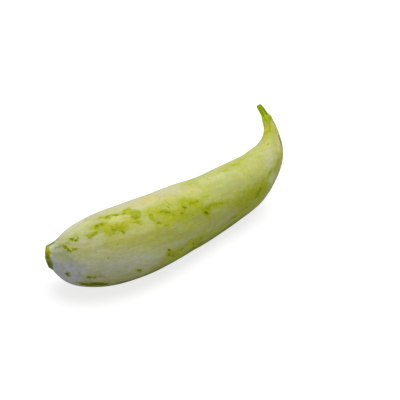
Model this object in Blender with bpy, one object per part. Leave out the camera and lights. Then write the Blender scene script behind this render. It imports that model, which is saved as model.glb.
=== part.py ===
"""A short white snake gourd with the stub of its stalk, lying on a surface.

The fruit is one solid swept along a bent middle line: a blunt flower end with a low
domed scar, a thick body, and a neck that thins as it curls up and back. The stalk is a
second solid that continues the same line from the end of the neck to its cut.

Metres, +Z up. The gourd lies along X with its neck at +X. The origin is on the surface
that it lies on, under the middle of its box. Sizes below are in millimetres.
"""

import math

import bmesh
import bpy
import numpy as np

MM = 0.001

# Middle line from the centre of the flower scar to the cut of the stalk: x, y, z
MIDDLE_LINE = [
    (-109.6, 5.6, 27.0),
    (-105.6, 1.1, 26.0),
    (-96.6, -3.4, 26.0),
    (-73.1, -9.4, 28.0),
    (-44.1, -11.4, 28.0),
    (-8.1, -6.9, 26.5),
    (29.9, 0.1, 25.5),
    (61.4, 4.6, 28.0),
    (84.4, 9.1, 34.0),
    (98.4, 14.1, 41.0),
    (105.9, 19.6, 49.0),
    (109.4, 26.6, 59.0),
    (108.4, 34.1, 68.0),
    (106.4, 39.1, 74.0),
]

# Half the thickness at distances along the middle line
HALF_THICKNESS = [
    (0.0, 9.2),
    (3.0, 11.0),
    (6.5, 13.6),
    (10.5, 17.2),
    (16.0, 21.1),
    (26.0, 25.1),
    (38.0, 27.6),
    (56.0, 29.2),
    (82.0, 28.5),
    (116.0, 27.0),
    (150.0, 24.6),
    (178.0, 22.5),
    (196.0, 19.2),
    (210.0, 15.4),
    (222.0, 11.7),
    (233.0, 7.3),
    (242.0, 4.8),
    (250.0, 3.6),
    (262.0, 1.8),
]

# The flower scar sits a little askew: the way from it into the fruit, in degrees, and
# the length over which the rings turn back to follow the middle line
SCAR_HEADING = -28.0
SCAR_PITCH = 10.5
SCAR_TURN_LENGTH = 30.0
# Its low dome, from the rim inwards: share of the rim's radius, height over the rim
SCAR_DOME = [(0.97, 0.5), (0.84, 1.2), (0.6, 1.9), (0.34, 2.3), (0.16, 2.1)]
SCAR_BUTTON_HEIGHT = 2.2

# Distances along the middle line where the fruit ends and where the stalk is cut
NECK_END = 250.0
STALK_END = 262.0
GAP = 0.3

# Slow swells of the body, as shares of the thickness, with the length of a radian of each
SWELL_DEPTH = 0.008
OVAL_LENGTH = 31.0
THREE_SIDED_LENGTH = 19.0
BODY_STARTS = (5.0, 45.0)
BODY_ENDS = (170.0, 215.0)

# Creases that gather round the flower scar
CREASES = 9
WIDE_CREASES = 4
CREASE_DEPTH = 0.016
CREASES_DEEPEN = (0.0, 4.0)
CREASES_FADE = (4.0, 24.0)

# Ribs that run down the stalk and fade out along the neck, which ends in a small collar
RIBS = 5
NECK_RIB_DEPTH = 0.05
NECK_RIB_START = 212.0
COLLAR_LENGTH = 3.0
COLLAR_HEIGHT = 0.55
STALK_RIB_DEPTH = 0.11
STALK_LIP_LENGTH = 2.0
STALK_LIP_HEIGHT = 0.25

# Fineness of the two skins: sides of a ring and steps between rings
FRUIT_SIDES = 36
FRUIT_STEP_SHARE = 0.19
FRUIT_LEAST_STEP = 1.6
STALK_SIDES = 20
STALK_STEP = 1.2
# Points this near the belly's flat are moved onto it, so that the cut leaves no sliver
FLAT_SNAP = 0.12
SHARP_ANGLE = 50.0


def natural_spline(knots, values):
    """Smooth curve through values at knots, with no bend at either end."""
    knots = np.array(knots, float)
    values = np.array(values, float)
    spans = np.diff(knots)
    count = len(knots)
    matrix = np.eye(count)
    slope_changes = np.zeros_like(values)
    for i in range(1, count - 1):
        matrix[i, i - 1:i + 2] = (spans[i - 1], 2 * (spans[i - 1] + spans[i]), spans[i])
        slope_after = (values[i + 1] - values[i]) / spans[i]
        slope_before = (values[i] - values[i - 1]) / spans[i - 1]
        slope_changes[i] = 6 * (slope_after - slope_before)
    bends = np.linalg.solve(matrix, slope_changes)

    def at(where):
        i = int(np.clip(np.searchsorted(knots, where) - 1, 0, count - 2))
        near = (where - knots[i]) / spans[i]
        far = 1 - near
        bend = (far ** 3 - far) * bends[i] + (near ** 3 - near) * bends[i + 1]
        return far * values[i] + near * values[i + 1] + bend * spans[i] ** 2 / 6

    return at


def ease(low, high, value):
    """0 below low, 1 above high, smooth between."""
    share = min(max((value - low) / (high - low), 0.0), 1.0)
    return share * share * (3 - 2 * share)


def unit(vector):
    return vector / np.linalg.norm(vector)


def facing(heading, pitch):
    """Unit vector from a heading about Z and a pitch above the surface, in degrees."""
    turn = math.radians(heading)
    rise = math.radians(pitch)
    return np.array([math.cos(turn) * math.cos(rise), math.sin(turn) * math.cos(rise), math.sin(rise)])


line_knots = np.cumsum([0.0] + [math.dist(a, b) for a, b in zip(MIDDLE_LINE, MIDDLE_LINE[1:])])
line_at = natural_spline(line_knots, MIDDLE_LINE)
thickness_at = natural_spline(*zip(*HALF_THICKNESS))


def direction_at(distance):
    """The way that a ring faces: along the middle line, but askew near the flower scar."""
    reach = 0.5
    along = unit(line_at(distance + reach) - line_at(distance - reach))
    straight = ease(0.0, SCAR_TURN_LENGTH, distance)
    return unit(facing(SCAR_HEADING, SCAR_PITCH) * (1 - straight) + along * straight)


def swell(distance, angle):
    """Slow hollows and swells, so that the body isn't a turned shape."""
    body = ease(*BODY_STARTS, distance) * (1 - ease(*BODY_ENDS, distance))
    oval = math.sin(2 * angle + distance / OVAL_LENGTH)
    three_sided = math.sin(3 * angle - distance / THREE_SIDED_LENGTH)
    return SWELL_DEPTH * body * (oval + three_sided)


def crease(distance, angle):
    """Folds of the skin where it draws in to the flower scar."""
    reach = ease(*CREASES_DEEPEN, distance) * (1 - ease(*CREASES_FADE, distance))
    return CREASE_DEPTH * reach * (math.cos(CREASES * angle) + math.sin(WIDE_CREASES * angle))


def neck_rib(distance, angle):
    """The stalk's ribs as they run out into the neck."""
    return NECK_RIB_DEPTH * ease(NECK_RIB_START, NECK_END, distance) * math.cos(RIBS * angle)


def fruit_radius(distance, angle):
    relief = swell(distance, angle) + crease(distance, angle) + neck_rib(distance, angle)
    collar = COLLAR_HEIGHT * ease(NECK_END - COLLAR_LENGTH, NECK_END, distance)
    return thickness_at(distance) * (1 + relief) + collar


def stalk_radius(distance, angle):
    lip = STALK_LIP_HEIGHT * ease(STALK_END - STALK_LIP_LENGTH, STALK_END, distance)
    return thickness_at(distance) * (1 + STALK_RIB_DEPTH * math.cos(RIBS * angle)) + lip


def fruit_step(distance):
    """Rings stand closer where the fruit is thinner."""
    return max(FRUIT_STEP_SHARE * thickness_at(distance), FRUIT_LEAST_STEP)


def stalk_step(distance):
    return STALK_STEP


def ring_distances(start, end, step_at):
    """Distances from start to end whose steps follow step_at, stretched to fit exactly."""
    marks = [start]
    while marks[-1] < end:
        marks.append(marks[-1] + step_at(marks[-1]))
    stretch = (end - start) / (marks[-1] - start)
    return [start + (mark - start) * stretch for mark in marks]


def ring_frames(distances, side):
    """Centre, side, top and facing of each ring. The side is carried along without twist."""
    frames = []
    for distance in distances:
        ahead = direction_at(distance)
        side = unit(side - ahead * side.dot(ahead))
        frames.append((line_at(distance), side, np.cross(side, ahead), ahead))
    return frames


def add_ring(mesh, frame, radius_at, sides):
    """One ring of vertices about a frame. radius_at gives the radius at an angle."""
    centre, side, top, _ = frame
    ring = []
    for i in range(sides):
        angle = math.tau * i / sides
        out = side * math.cos(angle) + top * math.sin(angle)
        ring.append(mesh.verts.new((centre + out * radius_at(angle)) * MM))
    return ring


def join_rings(mesh, first, second):
    """Quads between two rings of the same number of vertices."""
    count = len(first)
    for i in range(count):
        after = (i + 1) % count
        mesh.faces.new((first[i], first[after], second[after], second[i]))


def sweep(mesh, distances, frames, radius_at, sides):
    """Skin through rings along the middle line. Returns the first ring and the last."""
    rings = []
    for distance, frame in zip(distances, frames):
        rings.append(add_ring(mesh, frame, lambda angle: radius_at(distance, angle), sides))
    for first, second in zip(rings, rings[1:]):
        join_rings(mesh, first, second)
    return rings[0], rings[-1]


def add_scar(mesh, frame, rim):
    """Low dome over the first ring, closed with a small button in its middle."""
    centre, side, top, ahead = frame
    outer = rim
    for share, height in SCAR_DOME:
        raised = (centre - ahead * height, side, top, ahead)
        inner = add_ring(mesh, raised, lambda angle: fruit_radius(0.0, angle) * share, len(rim))
        join_rings(mesh, inner, outer)
        outer = inner
    button = mesh.verts.new((centre - ahead * SCAR_BUTTON_HEIGHT) * MM)
    for i in range(len(outer)):
        mesh.faces.new((button, outer[(i + 1) % len(outer)], outer[i]))


def flatten_belly(mesh):
    """The belly is flat where it lies on the surface: cut at height 0, closed with one face."""
    for vertex in mesh.verts:
        if abs(vertex.co.z) < FLAT_SNAP * MM:
            vertex.co.z = 0.0
    cut = bmesh.ops.bisect_plane(
        mesh,
        geom=mesh.verts[:] + mesh.edges[:] + mesh.faces[:],
        plane_co=(0.0, 0.0, 0.0),
        plane_no=(0.0, 0.0, -1.0),
        clear_outer=True,
    )
    border = [item for item in cut["geom_cut"] if isinstance(item, bmesh.types.BMEdge)]
    bmesh.ops.contextual_create(mesh, geom=border)


def new_material(name, colour, roughness):
    material = bpy.data.materials.new(name)
    material.use_nodes = True
    shader = material.node_tree.nodes["Principled BSDF"]
    shader.inputs["Base Color"].default_value = (*colour, 1.0)
    shader.inputs["Roughness"].default_value = roughness
    shader.inputs["Metallic"].default_value = 0.0
    return material


def new_object(name, mesh, material):
    """Object from a bmesh, with its faces turned out and its round sides shaded smooth."""
    bmesh.ops.recalc_face_normals(mesh, faces=mesh.faces)
    data = bpy.data.meshes.new(name)
    mesh.to_mesh(data)
    mesh.free()
    data.shade_smooth()
    data.set_sharp_from_angle(angle=math.radians(SHARP_ANGLE))
    data.materials.append(material)
    thing = bpy.data.objects.new(name, data)
    bpy.context.collection.objects.link(thing)
    return thing


def make_fruit(side):
    """Body, neck and flower scar, grown as one piece. Returns where its last ring's side points."""
    mesh = bmesh.new()
    distances = ring_distances(0.0, NECK_END, fruit_step)
    frames = ring_frames(distances, side)
    rim, neck = sweep(mesh, distances, frames, fruit_radius, FRUIT_SIDES)
    add_scar(mesh, frames[0], rim)
    mesh.faces.new(neck)
    flatten_belly(mesh)
    new_object("fruit", mesh, new_material("gourd_skin", (0.56, 0.60, 0.22), 0.45))
    return frames[-1][1]


def make_stalk(side):
    """Ribbed green stub, from a hair's breadth past the neck to its cut."""
    mesh = bmesh.new()
    distances = ring_distances(NECK_END + GAP, STALK_END, stalk_step)
    frames = ring_frames(distances, side)
    foot, cut = sweep(mesh, distances, frames, stalk_radius, STALK_SIDES)
    mesh.faces.new(foot)
    mesh.faces.new(cut)
    new_object("stalk", mesh, new_material("green_stalk", (0.27, 0.36, 0.01), 0.5))


def main():
    for thing in list(bpy.data.objects):
        bpy.data.objects.remove(thing, do_unlink=True)
    side = make_fruit(side=np.array([0.0, -1.0, 0.0]))
    make_stalk(side)


main()
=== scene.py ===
# %% [markdown]
# # A white snake gourd, one cell at a time
#
# A snake gourd is one grown thing: its body, neck and skin run into each other without a
# joint. Only the stub of stalk at the end of the neck is a piece of its own, because it is
# another tissue, green and woody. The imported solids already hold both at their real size.
# This script gives them their looks: a finer skin for each, a finish that varies over it as
# the real one does, and then a floor, soft light and a camera. It starts with the solids,
# which stay where they are and give every piece its place.

# %% Load the solids
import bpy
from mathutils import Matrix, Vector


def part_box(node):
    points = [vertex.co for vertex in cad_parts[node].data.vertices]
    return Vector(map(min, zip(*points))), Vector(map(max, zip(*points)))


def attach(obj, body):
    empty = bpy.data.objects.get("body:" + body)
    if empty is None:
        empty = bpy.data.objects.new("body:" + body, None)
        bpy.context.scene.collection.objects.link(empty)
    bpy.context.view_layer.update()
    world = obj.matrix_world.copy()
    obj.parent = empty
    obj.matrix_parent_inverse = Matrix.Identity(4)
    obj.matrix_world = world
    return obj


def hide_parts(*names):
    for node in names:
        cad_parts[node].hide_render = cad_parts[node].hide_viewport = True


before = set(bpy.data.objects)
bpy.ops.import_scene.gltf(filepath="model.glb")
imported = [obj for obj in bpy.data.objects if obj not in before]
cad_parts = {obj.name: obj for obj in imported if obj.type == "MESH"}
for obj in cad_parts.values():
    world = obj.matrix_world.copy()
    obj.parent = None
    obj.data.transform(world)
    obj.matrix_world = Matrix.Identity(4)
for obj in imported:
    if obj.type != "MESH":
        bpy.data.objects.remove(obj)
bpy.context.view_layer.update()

print("solids:", sorted(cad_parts))

# %% [markdown]
# Blender measures in metres, but a gourd is easier to describe in millimetres. The sizes
# below are in millimetres, and `MM` turns them into Blender's unit where points are made.
# `numpy` works out all the points of a ring at once, which keeps a fine mesh quick to make.
# Nearly all of the gourd's form and colour fades in and out, so three small functions for
# that come first.

# %% Tools and the unit
import math

import bpy
import numpy as np
from mathutils import Vector

MM = 0.001


def ease(low, high, value):
    """0 below low, 1 above high and smooth between, for a number or for many at once."""
    share = np.clip((value - low) / (high - low), 0.0, 1.0)
    return share * share * (3 - 2 * share)


def bell(value, middle, width):
    """1 in the middle, falling smoothly to 0 on either side of it."""
    return np.exp(-((value - middle) / width) ** 2)


def towards(angle, side):
    """1 where an angle points to one side, 0 from a quarter turn away from it."""
    return np.clip(np.cos(angle - side), 0.0, 1.0)


def unit(vector):
    return vector / np.linalg.norm(vector)


print("a millimetre is", MM, "of Blender's unit")

# %% [markdown]
# ## The form
#
# The gourd grew along a bent line. It could be made straight and bent afterwards, but that would stretch
# its relief on one side and squeeze it on the other. So it is made the way it grew: a smooth curve through
# the middle of it, and a ring of skin round the curve at each distance from the flower end. Both the line
# and the thickness are smooth curves through a few points. A natural cubic spline does that: it bends as
# little as it can on its way through them. The points began as estimates. A least-squares fit then moved
# them until the outline fell on the photograph's, and its results were rounded. They are the same points as
# the solid's, so the fine skin lies on the solid.

# %% Middle line and thickness
MIDDLE_LINE = [
    (-109.6, 5.6, 27.0),
    (-105.6, 1.1, 26.0),
    (-96.6, -3.4, 26.0),
    (-73.1, -9.4, 28.0),
    (-44.1, -11.4, 28.0),
    (-8.1, -6.9, 26.5),
    (29.9, 0.1, 25.5),
    (61.4, 4.6, 28.0),
    (84.4, 9.1, 34.0),
    (98.4, 14.1, 41.0),
    (105.9, 19.6, 49.0),
    (109.4, 26.6, 59.0),
    (108.4, 34.1, 68.0),
    (106.4, 39.1, 74.0),
]
# Half the thickness at distances along the middle line
HALF_THICKNESS = [
    (0.0, 9.2),
    (3.0, 11.0),
    (6.5, 13.6),
    (10.5, 17.2),
    (16.0, 21.1),
    (26.0, 25.1),
    (38.0, 27.6),
    (56.0, 29.2),
    (82.0, 28.5),
    (116.0, 27.0),
    (150.0, 24.6),
    (178.0, 22.5),
    (196.0, 19.2),
    (210.0, 15.4),
    (222.0, 11.7),
    (233.0, 7.3),
    (242.0, 4.8),
    (250.0, 3.6),
    (262.0, 1.8),
]
NECK_END = 250.0
STALK_END = 262.0


def natural_spline(knots, values):
    """Smooth curve through values at knots, with no bend at either end."""
    knots = np.array(knots, float)
    values = np.array(values, float)
    spans = np.diff(knots)
    count = len(knots)
    matrix = np.eye(count)
    slope_changes = np.zeros_like(values)
    for i in range(1, count - 1):
        matrix[i, i - 1:i + 2] = (spans[i - 1], 2 * (spans[i - 1] + spans[i]), spans[i])
        slope_after = (values[i + 1] - values[i]) / spans[i]
        slope_before = (values[i] - values[i - 1]) / spans[i - 1]
        slope_changes[i] = 6 * (slope_after - slope_before)
    bends = np.linalg.solve(matrix, slope_changes)

    def at(where):
        i = np.clip(np.searchsorted(knots, where) - 1, 0, count - 2)
        near = (where - knots[i]) / spans[i]
        far = 1 - near
        bend = (far ** 3 - far) * bends[i] + (near ** 3 - near) * bends[i + 1]
        return far * values[i] + near * values[i + 1] + bend * spans[i] ** 2 / 6

    return at


line_knots = np.cumsum([0.0] + [math.dist(a, b) for a, b in zip(MIDDLE_LINE, MIDDLE_LINE[1:])])
line_curves = [natural_spline(line_knots, values) for values in zip(*MIDDLE_LINE)]
thickness_at = natural_spline(*zip(*HALF_THICKNESS))


def line_at(distance):
    """Point of the middle line at one distance."""
    return np.array([curve(distance) for curve in line_curves])


print("length along the middle line:", round(float(line_knots[-1]), 1), "mm")

# %% [markdown]
# Each ring needs a centre and two directions to be drawn in. If the directions were worked
# out afresh at every ring, the skin would twist where the neck curls. So one direction is
# carried along from ring to ring, and only turned as much as the line itself turns. Angle 0
# is the side that faces the viewer, and 90 degrees is the top. At the flower end the rings
# stand a little askew, as the scar of a real gourd does.

# %% Rings along the line
SCAR_HEADING = -28.0
SCAR_PITCH = 10.5
SCAR_TURN_LENGTH = 30.0
SLOPE_REACH = 0.5
FRUIT_RINGS = 430
FRUIT_SIDES = 192
# The four arrays that describe a row of rings
CENTRE, SIDE, TOP, AHEAD = range(4)


def facing(heading, pitch):
    """Unit vector from a heading about Z and a pitch above the surface, in degrees."""
    turn = math.radians(heading)
    rise = math.radians(pitch)
    return np.array([math.cos(turn) * math.cos(rise), math.sin(turn) * math.cos(rise), math.sin(rise)])


def direction_at(distance):
    """The way that a ring faces: along the middle line, but askew near the flower scar."""
    along = unit(line_at(distance + SLOPE_REACH) - line_at(distance - SLOPE_REACH))
    straight = ease(0.0, SCAR_TURN_LENGTH, distance)
    return unit(facing(SCAR_HEADING, SCAR_PITCH) * (1 - straight) + along * straight)


def ring_frames(distances, side):
    """Centre, side, top and ahead of each ring, as four arrays. The side is carried along."""
    centres, sides, tops, aheads = [], [], [], []
    for distance in distances:
        ahead = direction_at(distance)
        side = unit(side - ahead * side.dot(ahead))
        centres.append(line_at(distance))
        sides.append(side)
        tops.append(np.cross(side, ahead))
        aheads.append(ahead)
    return np.array(centres), np.array(sides), np.array(tops), np.array(aheads)


fruit_distances = np.linspace(0.0, NECK_END, FRUIT_RINGS)
fruit_angles = np.arange(FRUIT_SIDES) * math.tau / FRUIT_SIDES
fruit_frames = ring_frames(fruit_distances, side=np.array([0.0, -1.0, 0.0]))
print("rings:", FRUIT_RINGS, "of", FRUIT_SIDES, "sides")

# %% [markdown]
# A turned shape looks like plastic. Real skin has slow swells, folds that gather where it
# draws in to the flower scar, and ribs that run from the stalk into the neck. They could be
# sculpted by hand, but a small function of the distance along the fruit and the angle round
# it can be read, changed and repeated. These three are the solid's own relief, so the fine
# skin has them too, at the same places. It follows them with more points.

# %% Relief of the solid
SWELL_DEPTH = 0.008
OVAL_LENGTH = 31.0
THREE_SIDED_LENGTH = 19.0
BODY_STARTS = (5.0, 45.0)
BODY_ENDS = (170.0, 215.0)
CREASES = 9
WIDE_CREASES = 4
CREASE_DEPTH = 0.016
CREASES_DEEPEN = (0.0, 4.0)
CREASES_FADE = (4.0, 24.0)
RIBS = 5
NECK_RIB_DEPTH = 0.05
NECK_RIB_START = 212.0


def swell(distance, angle):
    body = ease(*BODY_STARTS, distance) * (1 - ease(*BODY_ENDS, distance))
    oval = np.sin(2 * angle + distance / OVAL_LENGTH)
    three_sided = np.sin(3 * angle - distance / THREE_SIDED_LENGTH)
    return SWELL_DEPTH * body * (oval + three_sided)


def crease(distance, angle):
    reach = ease(*CREASES_DEEPEN, distance) * (1 - ease(*CREASES_FADE, distance))
    return CREASE_DEPTH * reach * (np.cos(CREASES * angle) + np.sin(WIDE_CREASES * angle))


def neck_rib(distance, angle):
    return NECK_RIB_DEPTH * ease(NECK_RIB_START, NECK_END, distance) * np.cos(RIBS * angle)


rib_height = NECK_RIB_DEPTH * float(thickness_at(NECK_END))
print("ribs at the end of the neck:", round(rib_height, 2), "mm high")

# %% [markdown]
# Up close the skin is never even. It is a little bumpy, faint ridges run along it, and round
# the flower scar it is puckered like a drawn bag, behind a groove that sets the scar off as
# a cap. A bump in the finish could fake all of this, but not at the outline, where a smooth
# edge would give it away. So the relief is in the mesh, as more small functions, in mm.

# %% Fine relief of the skin
# Soft unevenness: height in mm, waves round the fruit, length of a radian along it, start
UNEVENNESS = [
    (0.14, 3, 13.0, 0.4),
    (0.11, 5, 9.0, 2.1),
    (0.09, 4, -7.0, 4.0),
    (0.06, 8, 6.0, 1.3),
    (0.05, 11, -4.5, 5.2),
]
UNEVEN_STARTS = (4.0, 30.0)
UNEVEN_ENDS = (190.0, 235.0)
LINE_HEIGHT = 0.035
LINES_ROUND = 29
LINES_START = (6.0, 30.0)
LINE_WANDER = 1.5
LINE_WANDER_LENGTH = 41.0
LINE_WANDER_ROUND = 0.6
PUCKERS = 23
PUCKER_DEPTH = 0.16
PUCKER_LEVEL = 0.6
PUCKER_SWAY = 0.8
PUCKERS_START = (0.6, 3.0)
PUCKERS_FADE = (3.0, 15.0)
GROOVE_DEPTH = 0.45
GROOVE_PLACE = 2.0
GROOVE_WIDTH = 1.3
GROOVE_AT_SIDES = 0.6
GROOVE_MORE_BELOW = 0.4


def unevenness(distance, angle):
    height = 0.0
    for depth, waves, length, start in UNEVENNESS:
        height = height + depth * np.sin(waves * angle + distance / length + start)
    return height * ease(*UNEVEN_STARTS, distance) * (1 - ease(*UNEVEN_ENDS, distance))


def lengthwise_lines(distance, angle):
    """Faint ridges from end to end, which wander a little."""
    wander = LINE_WANDER * np.sin(distance / LINE_WANDER_LENGTH) + LINE_WANDER_ROUND * np.sin(2 * angle)
    return LINE_HEIGHT * np.sin(LINES_ROUND * angle + wander) * ease(*LINES_START, distance)


def puckers(distance, angle):
    """Small sharp folds at the rim of the flower scar."""
    fold_painted_shade = np.abs(np.sin(0.5 * PUCKERS * angle + PUCKER_SWAY * np.sin(3 * angle)))
    reach = ease(*PUCKERS_START, distance) * (1 - ease(*PUCKERS_FADE, distance))
    return PUCKER_DEPTH * (fold_painted_shade - PUCKER_LEVEL) * reach


def scar_groove(distance, angle):
    """The skin is drawn in just past the rim, more so below."""
    depth = GROOVE_DEPTH * (GROOVE_AT_SIDES - GROOVE_MORE_BELOW * np.sin(angle))
    return -depth * bell(distance, GROOVE_PLACE, GROOVE_WIDTH)


print("unevenness: at most", round(sum(depth for depth, *_ in UNEVENNESS), 2), "mm")

# %% [markdown]
# The gourd isn't even round its middle line either. Its bent end hangs a little to one side,
# the neck is plumper on one side where it curls, and the lower side of the flower end stands
# out further than its top. More points on the middle line could say this, but the solid
# shares that line. They are differences of about a millimetre, so the skin adds them on its
# own. The lopsided collar at the end of the neck comes last.

# %% Lean, sag and plump neck
SCAR_LEAN = 1.2
SCAR_LEAN_LENGTH = 14.0
SAG = 0.7
SAG_SIDE = math.radians(-60.0)
SAG_STARTS = (100.0, 140.0)
SAG_ENDS = (215.0, 240.0)
NECK_PLUMP = 0.4
NECK_PLUMP_STARTS = (215.0, 230.0)
COLLAR_PLUMP = 0.1
COLLAR_PLUMP_STARTS = (230.0, 240.0)
CURL_PLUMP = 1.15
CURL_PLACE = 212.5
CURL_LENGTH = 11.5
CURL_SIDE = math.radians(138.0)
COLLAR_LENGTH = 3.0
COLLAR_HEIGHT = 0.6
COLLAR_EVEN = 0.3
COLLAR_LOPSIDED = 0.7
COLLAR_SIDE = math.radians(-50.0)


def scar_lean(distance, angle):
    """How far the flower end stands out, as a move along the line: nothing on top, most below."""
    return -SCAR_LEAN * (0.5 - 0.5 * np.sin(angle)) * (1 - ease(0.0, SCAR_LEAN_LENGTH, distance))


def sag(distance, angle):
    """The bent end hangs a little to one side."""
    reach = ease(*SAG_STARTS, distance) * (1 - ease(*SAG_ENDS, distance))
    return SAG * reach * np.cos(angle - SAG_SIDE)


def plumpness(distance, angle):
    """The neck is fuller than the solid's, most on one side where it curls."""
    neck = NECK_PLUMP * ease(*NECK_PLUMP_STARTS, distance)
    collar = COLLAR_PLUMP * ease(*COLLAR_PLUMP_STARTS, distance)
    curl = CURL_PLUMP * bell(distance, CURL_PLACE, CURL_LENGTH) * towards(angle, CURL_SIDE) ** 2
    return neck + collar + curl


def collar(distance, angle):
    """A small swelling where the neck ends at the stalk, mostly on one side."""
    lopsided = COLLAR_EVEN + COLLAR_LOPSIDED * np.cos(angle - COLLAR_SIDE)
    return COLLAR_HEIGHT * lopsided * ease(NECK_END - COLLAR_LENGTH, NECK_END, distance)


def fruit_radius(distance, angle):
    """Radius of the fine skin, in mm."""
    relief = swell(distance, angle) + crease(distance, angle) + neck_rib(distance, angle)
    fine = unevenness(distance, angle) + lengthwise_lines(distance, angle)
    fine = fine + puckers(distance, angle) + scar_groove(distance, angle)
    fine = fine + sag(distance, angle) + plumpness(distance, angle)
    return thickness_at(distance) * (1 + relief) + collar(distance, angle) + fine


widest = float(fruit_radius(fruit_distances[:, None], fruit_angles[None, :]).max())
print("widest radius of the skin:", round(widest, 1), "mm")

# %% [markdown]
# ## The skin's mesh
#
# The whole skin is one grid: ring after ring of points, closed at each end with a fan of
# triangles round a tip. A solid made smooth by subdivision could serve too, but its points
# wouldn't lie where the functions above want them. The grid is laid out as plain arrays, and
# `from_pydata` turns it into a mesh in one call, which is far quicker than adding points one
# by one.

# %% Grid to mesh
def rings_of_points(frames, radii, angles, rise=0.0):
    """Points (rings, sides, 3) in mm. rise moves them along the line."""
    centres, sides, tops, aheads = (array[:, None, :] for array in frames)
    out = sides * np.cos(angles)[None, :, None] + tops * np.sin(angles)[None, :, None]
    return centres + out * radii[:, :, None] + aheads * np.broadcast_to(rise, radii.shape)[:, :, None]


def copies_of_ring(frames, ring, count):
    """One ring's frame, count times over, for rings that lie inside it or over it."""
    return [np.repeat(array[ring][None, :], count, axis=0) for array in frames]


def grid_faces(rings, sides):
    """Quads between rings, as corner numbers that count from 0, with the outside facing out."""
    ring, turn = np.meshgrid(np.arange(rings - 1), np.arange(sides), indexing="ij")
    here = ring * sides + turn
    beside = ring * sides + (turn + 1) % sides
    return np.stack((here, here + sides, beside + sides, beside), axis=-1).reshape(-1, 4)


def tip_faces(tip, first_corner, sides, at_start):
    """Triangles from one tip to the ring that starts at first_corner."""
    faces = []
    for turn in range(sides):
        here = first_corner + turn
        beside = first_corner + (turn + 1) % sides
        faces.append((tip, here, beside) if at_start else (tip, beside, here))
    return faces


def new_skin(name, points, first_tip, last_tip):
    """A closed smooth mesh object from rings of points and a tip at either end, all in mm."""
    rings, sides, _ = points.shape
    corners = np.concatenate([points.reshape(-1, 3), [first_tip, last_tip]]) * MM
    faces = grid_faces(rings, sides).tolist()
    faces += tip_faces(rings * sides, 0, sides, at_start=True)
    faces += tip_faces(rings * sides + 1, (rings - 1) * sides, sides, at_start=False)
    data = bpy.data.meshes.new(name)
    data.from_pydata(corners.tolist(), [], faces)
    data.shade_smooth()
    skin = bpy.data.objects.new(name, data)
    bpy.context.collection.objects.link(skin)
    return skin


print("faces of a grid of 3 rings and 4 sides:", len(grid_faces(3, 4)))

# %% [markdown]
# The flower scar is where the blossom fell off: a low dome of dried tissue inside a green
# rim, with fine furrows that run in to the torn stub of the style. It could be a piece of its
# own, but on the fruit there is no seam where skin turns into scar. So it continues the
# fruit's own grid inwards, ring inside ring. The dome's profile is a spline again, and the
# furrows are a wave round it that fades towards the rim and the stub.

# %% Flower scar
# Share of the rim's radius and height over the rim, from the middle outwards
SCAR_DOME = [(0.0, 2.2), (0.16, 2.1), (0.34, 2.3), (0.6, 1.9), (0.84, 1.2), (0.97, 0.5), (1.0, 0.0)]
SCAR_RINGS = 36
SCAR_INNERMOST = 0.02
SCAR_OUTERMOST = 0.985
SCAR_FURROWS = 31
SCAR_FURROW_DEPTH = 0.11
FURROW_SWAY = 2.5
FURROW_TWIST = 9
FURROWS_START = (0.2, 0.45)
FURROWS_END = (0.8, 1.0)
DIP_DEPTH = 0.25
DIP_SHARE = 0.3
DIP_WIDTH = 0.07
STUB_HEIGHT = 0.9
STUB_EDGE = (0.102, 0.17)
STUB_HOLLOW = (0.0, 0.05)
STUB_TIP_HEIGHT = 0.36
scar_height = natural_spline(*zip(*SCAR_DOME))


def furrows(share, angle):
    """Fine furrows that fade at the rim and at the stub."""
    wave = np.sin(SCAR_FURROWS * angle + FURROW_SWAY * np.sin(3 * angle + FURROW_TWIST * share))
    return SCAR_FURROW_DEPTH * wave * ease(*FURROWS_START, share) * (1 - ease(*FURROWS_END, share))


def style_stub(share, angle):
    """The torn stub of the style, with a dip round its foot."""
    torn = 1 + 0.25 * np.sin(5 * angle) + 0.15 * np.sin(9 * angle + 1)
    reach = (1 - ease(*STUB_EDGE, share)) * ease(*STUB_HOLLOW, share)
    return STUB_HEIGHT * torn * reach - DIP_DEPTH * bell(share, DIP_SHARE, DIP_WIDTH)


def scar_points(shares):
    """Points of the dome, from the innermost ring to the one beside the rim."""
    share = shares[:, None]
    angle = fruit_angles[None, :]
    rim = fruit_radius(np.array([[0.0]]), angle)
    height = scar_height(share) + furrows(share, angle) + style_stub(share, angle)
    lean = share * scar_lean(0.0, angle) - 0.5 * (1 - share) * SCAR_LEAN
    frames = copies_of_ring(fruit_frames, 0, len(shares))
    return rings_of_points(frames, rim * share, fruit_angles, rise=lean - height)


dome_shares = np.linspace(SCAR_INNERMOST, SCAR_OUTERMOST, SCAR_RINGS)
dome_points = scar_points(dome_shares)
dome_tip_height = SCAR_DOME[0][1] + STUB_TIP_HEIGHT + 0.5 * SCAR_LEAN
dome_tip = fruit_frames[CENTRE][0] - fruit_frames[AHEAD][0] * dome_tip_height
print("scar:", SCAR_RINGS, "rings, dome", SCAR_DOME[2][1], "mm high")

# %% [markdown]
# At the other end the neck draws in to the stalk over a sloping collar, which reaches further
# up the stalk on each of the five ribs. It is more rings of the same grid. The belly is flat
# where the fruit lies: a simulation could press it flat, but lifting every point that would
# be below the surface onto it gives the same shape, as the skin gives only a little there.

# %% Fruit
COLLAR_RIB_REACH = 0.3
# Share of the neck's radius and height over its end, from the edge inwards
NECK_CAP = [
    (0.985, 0.25),
    (0.955, 0.6),
    (0.91, 1.05),
    (0.86, 1.55),
    (0.8, 2.15),
    (0.75, 2.7),
    (0.71, 3.1),
    (0.66, 3.2),
    (0.4, 3.0),
    (0.15, 3.0),
]
cap_shares, cap_rises = np.array(NECK_CAP).T


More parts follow.
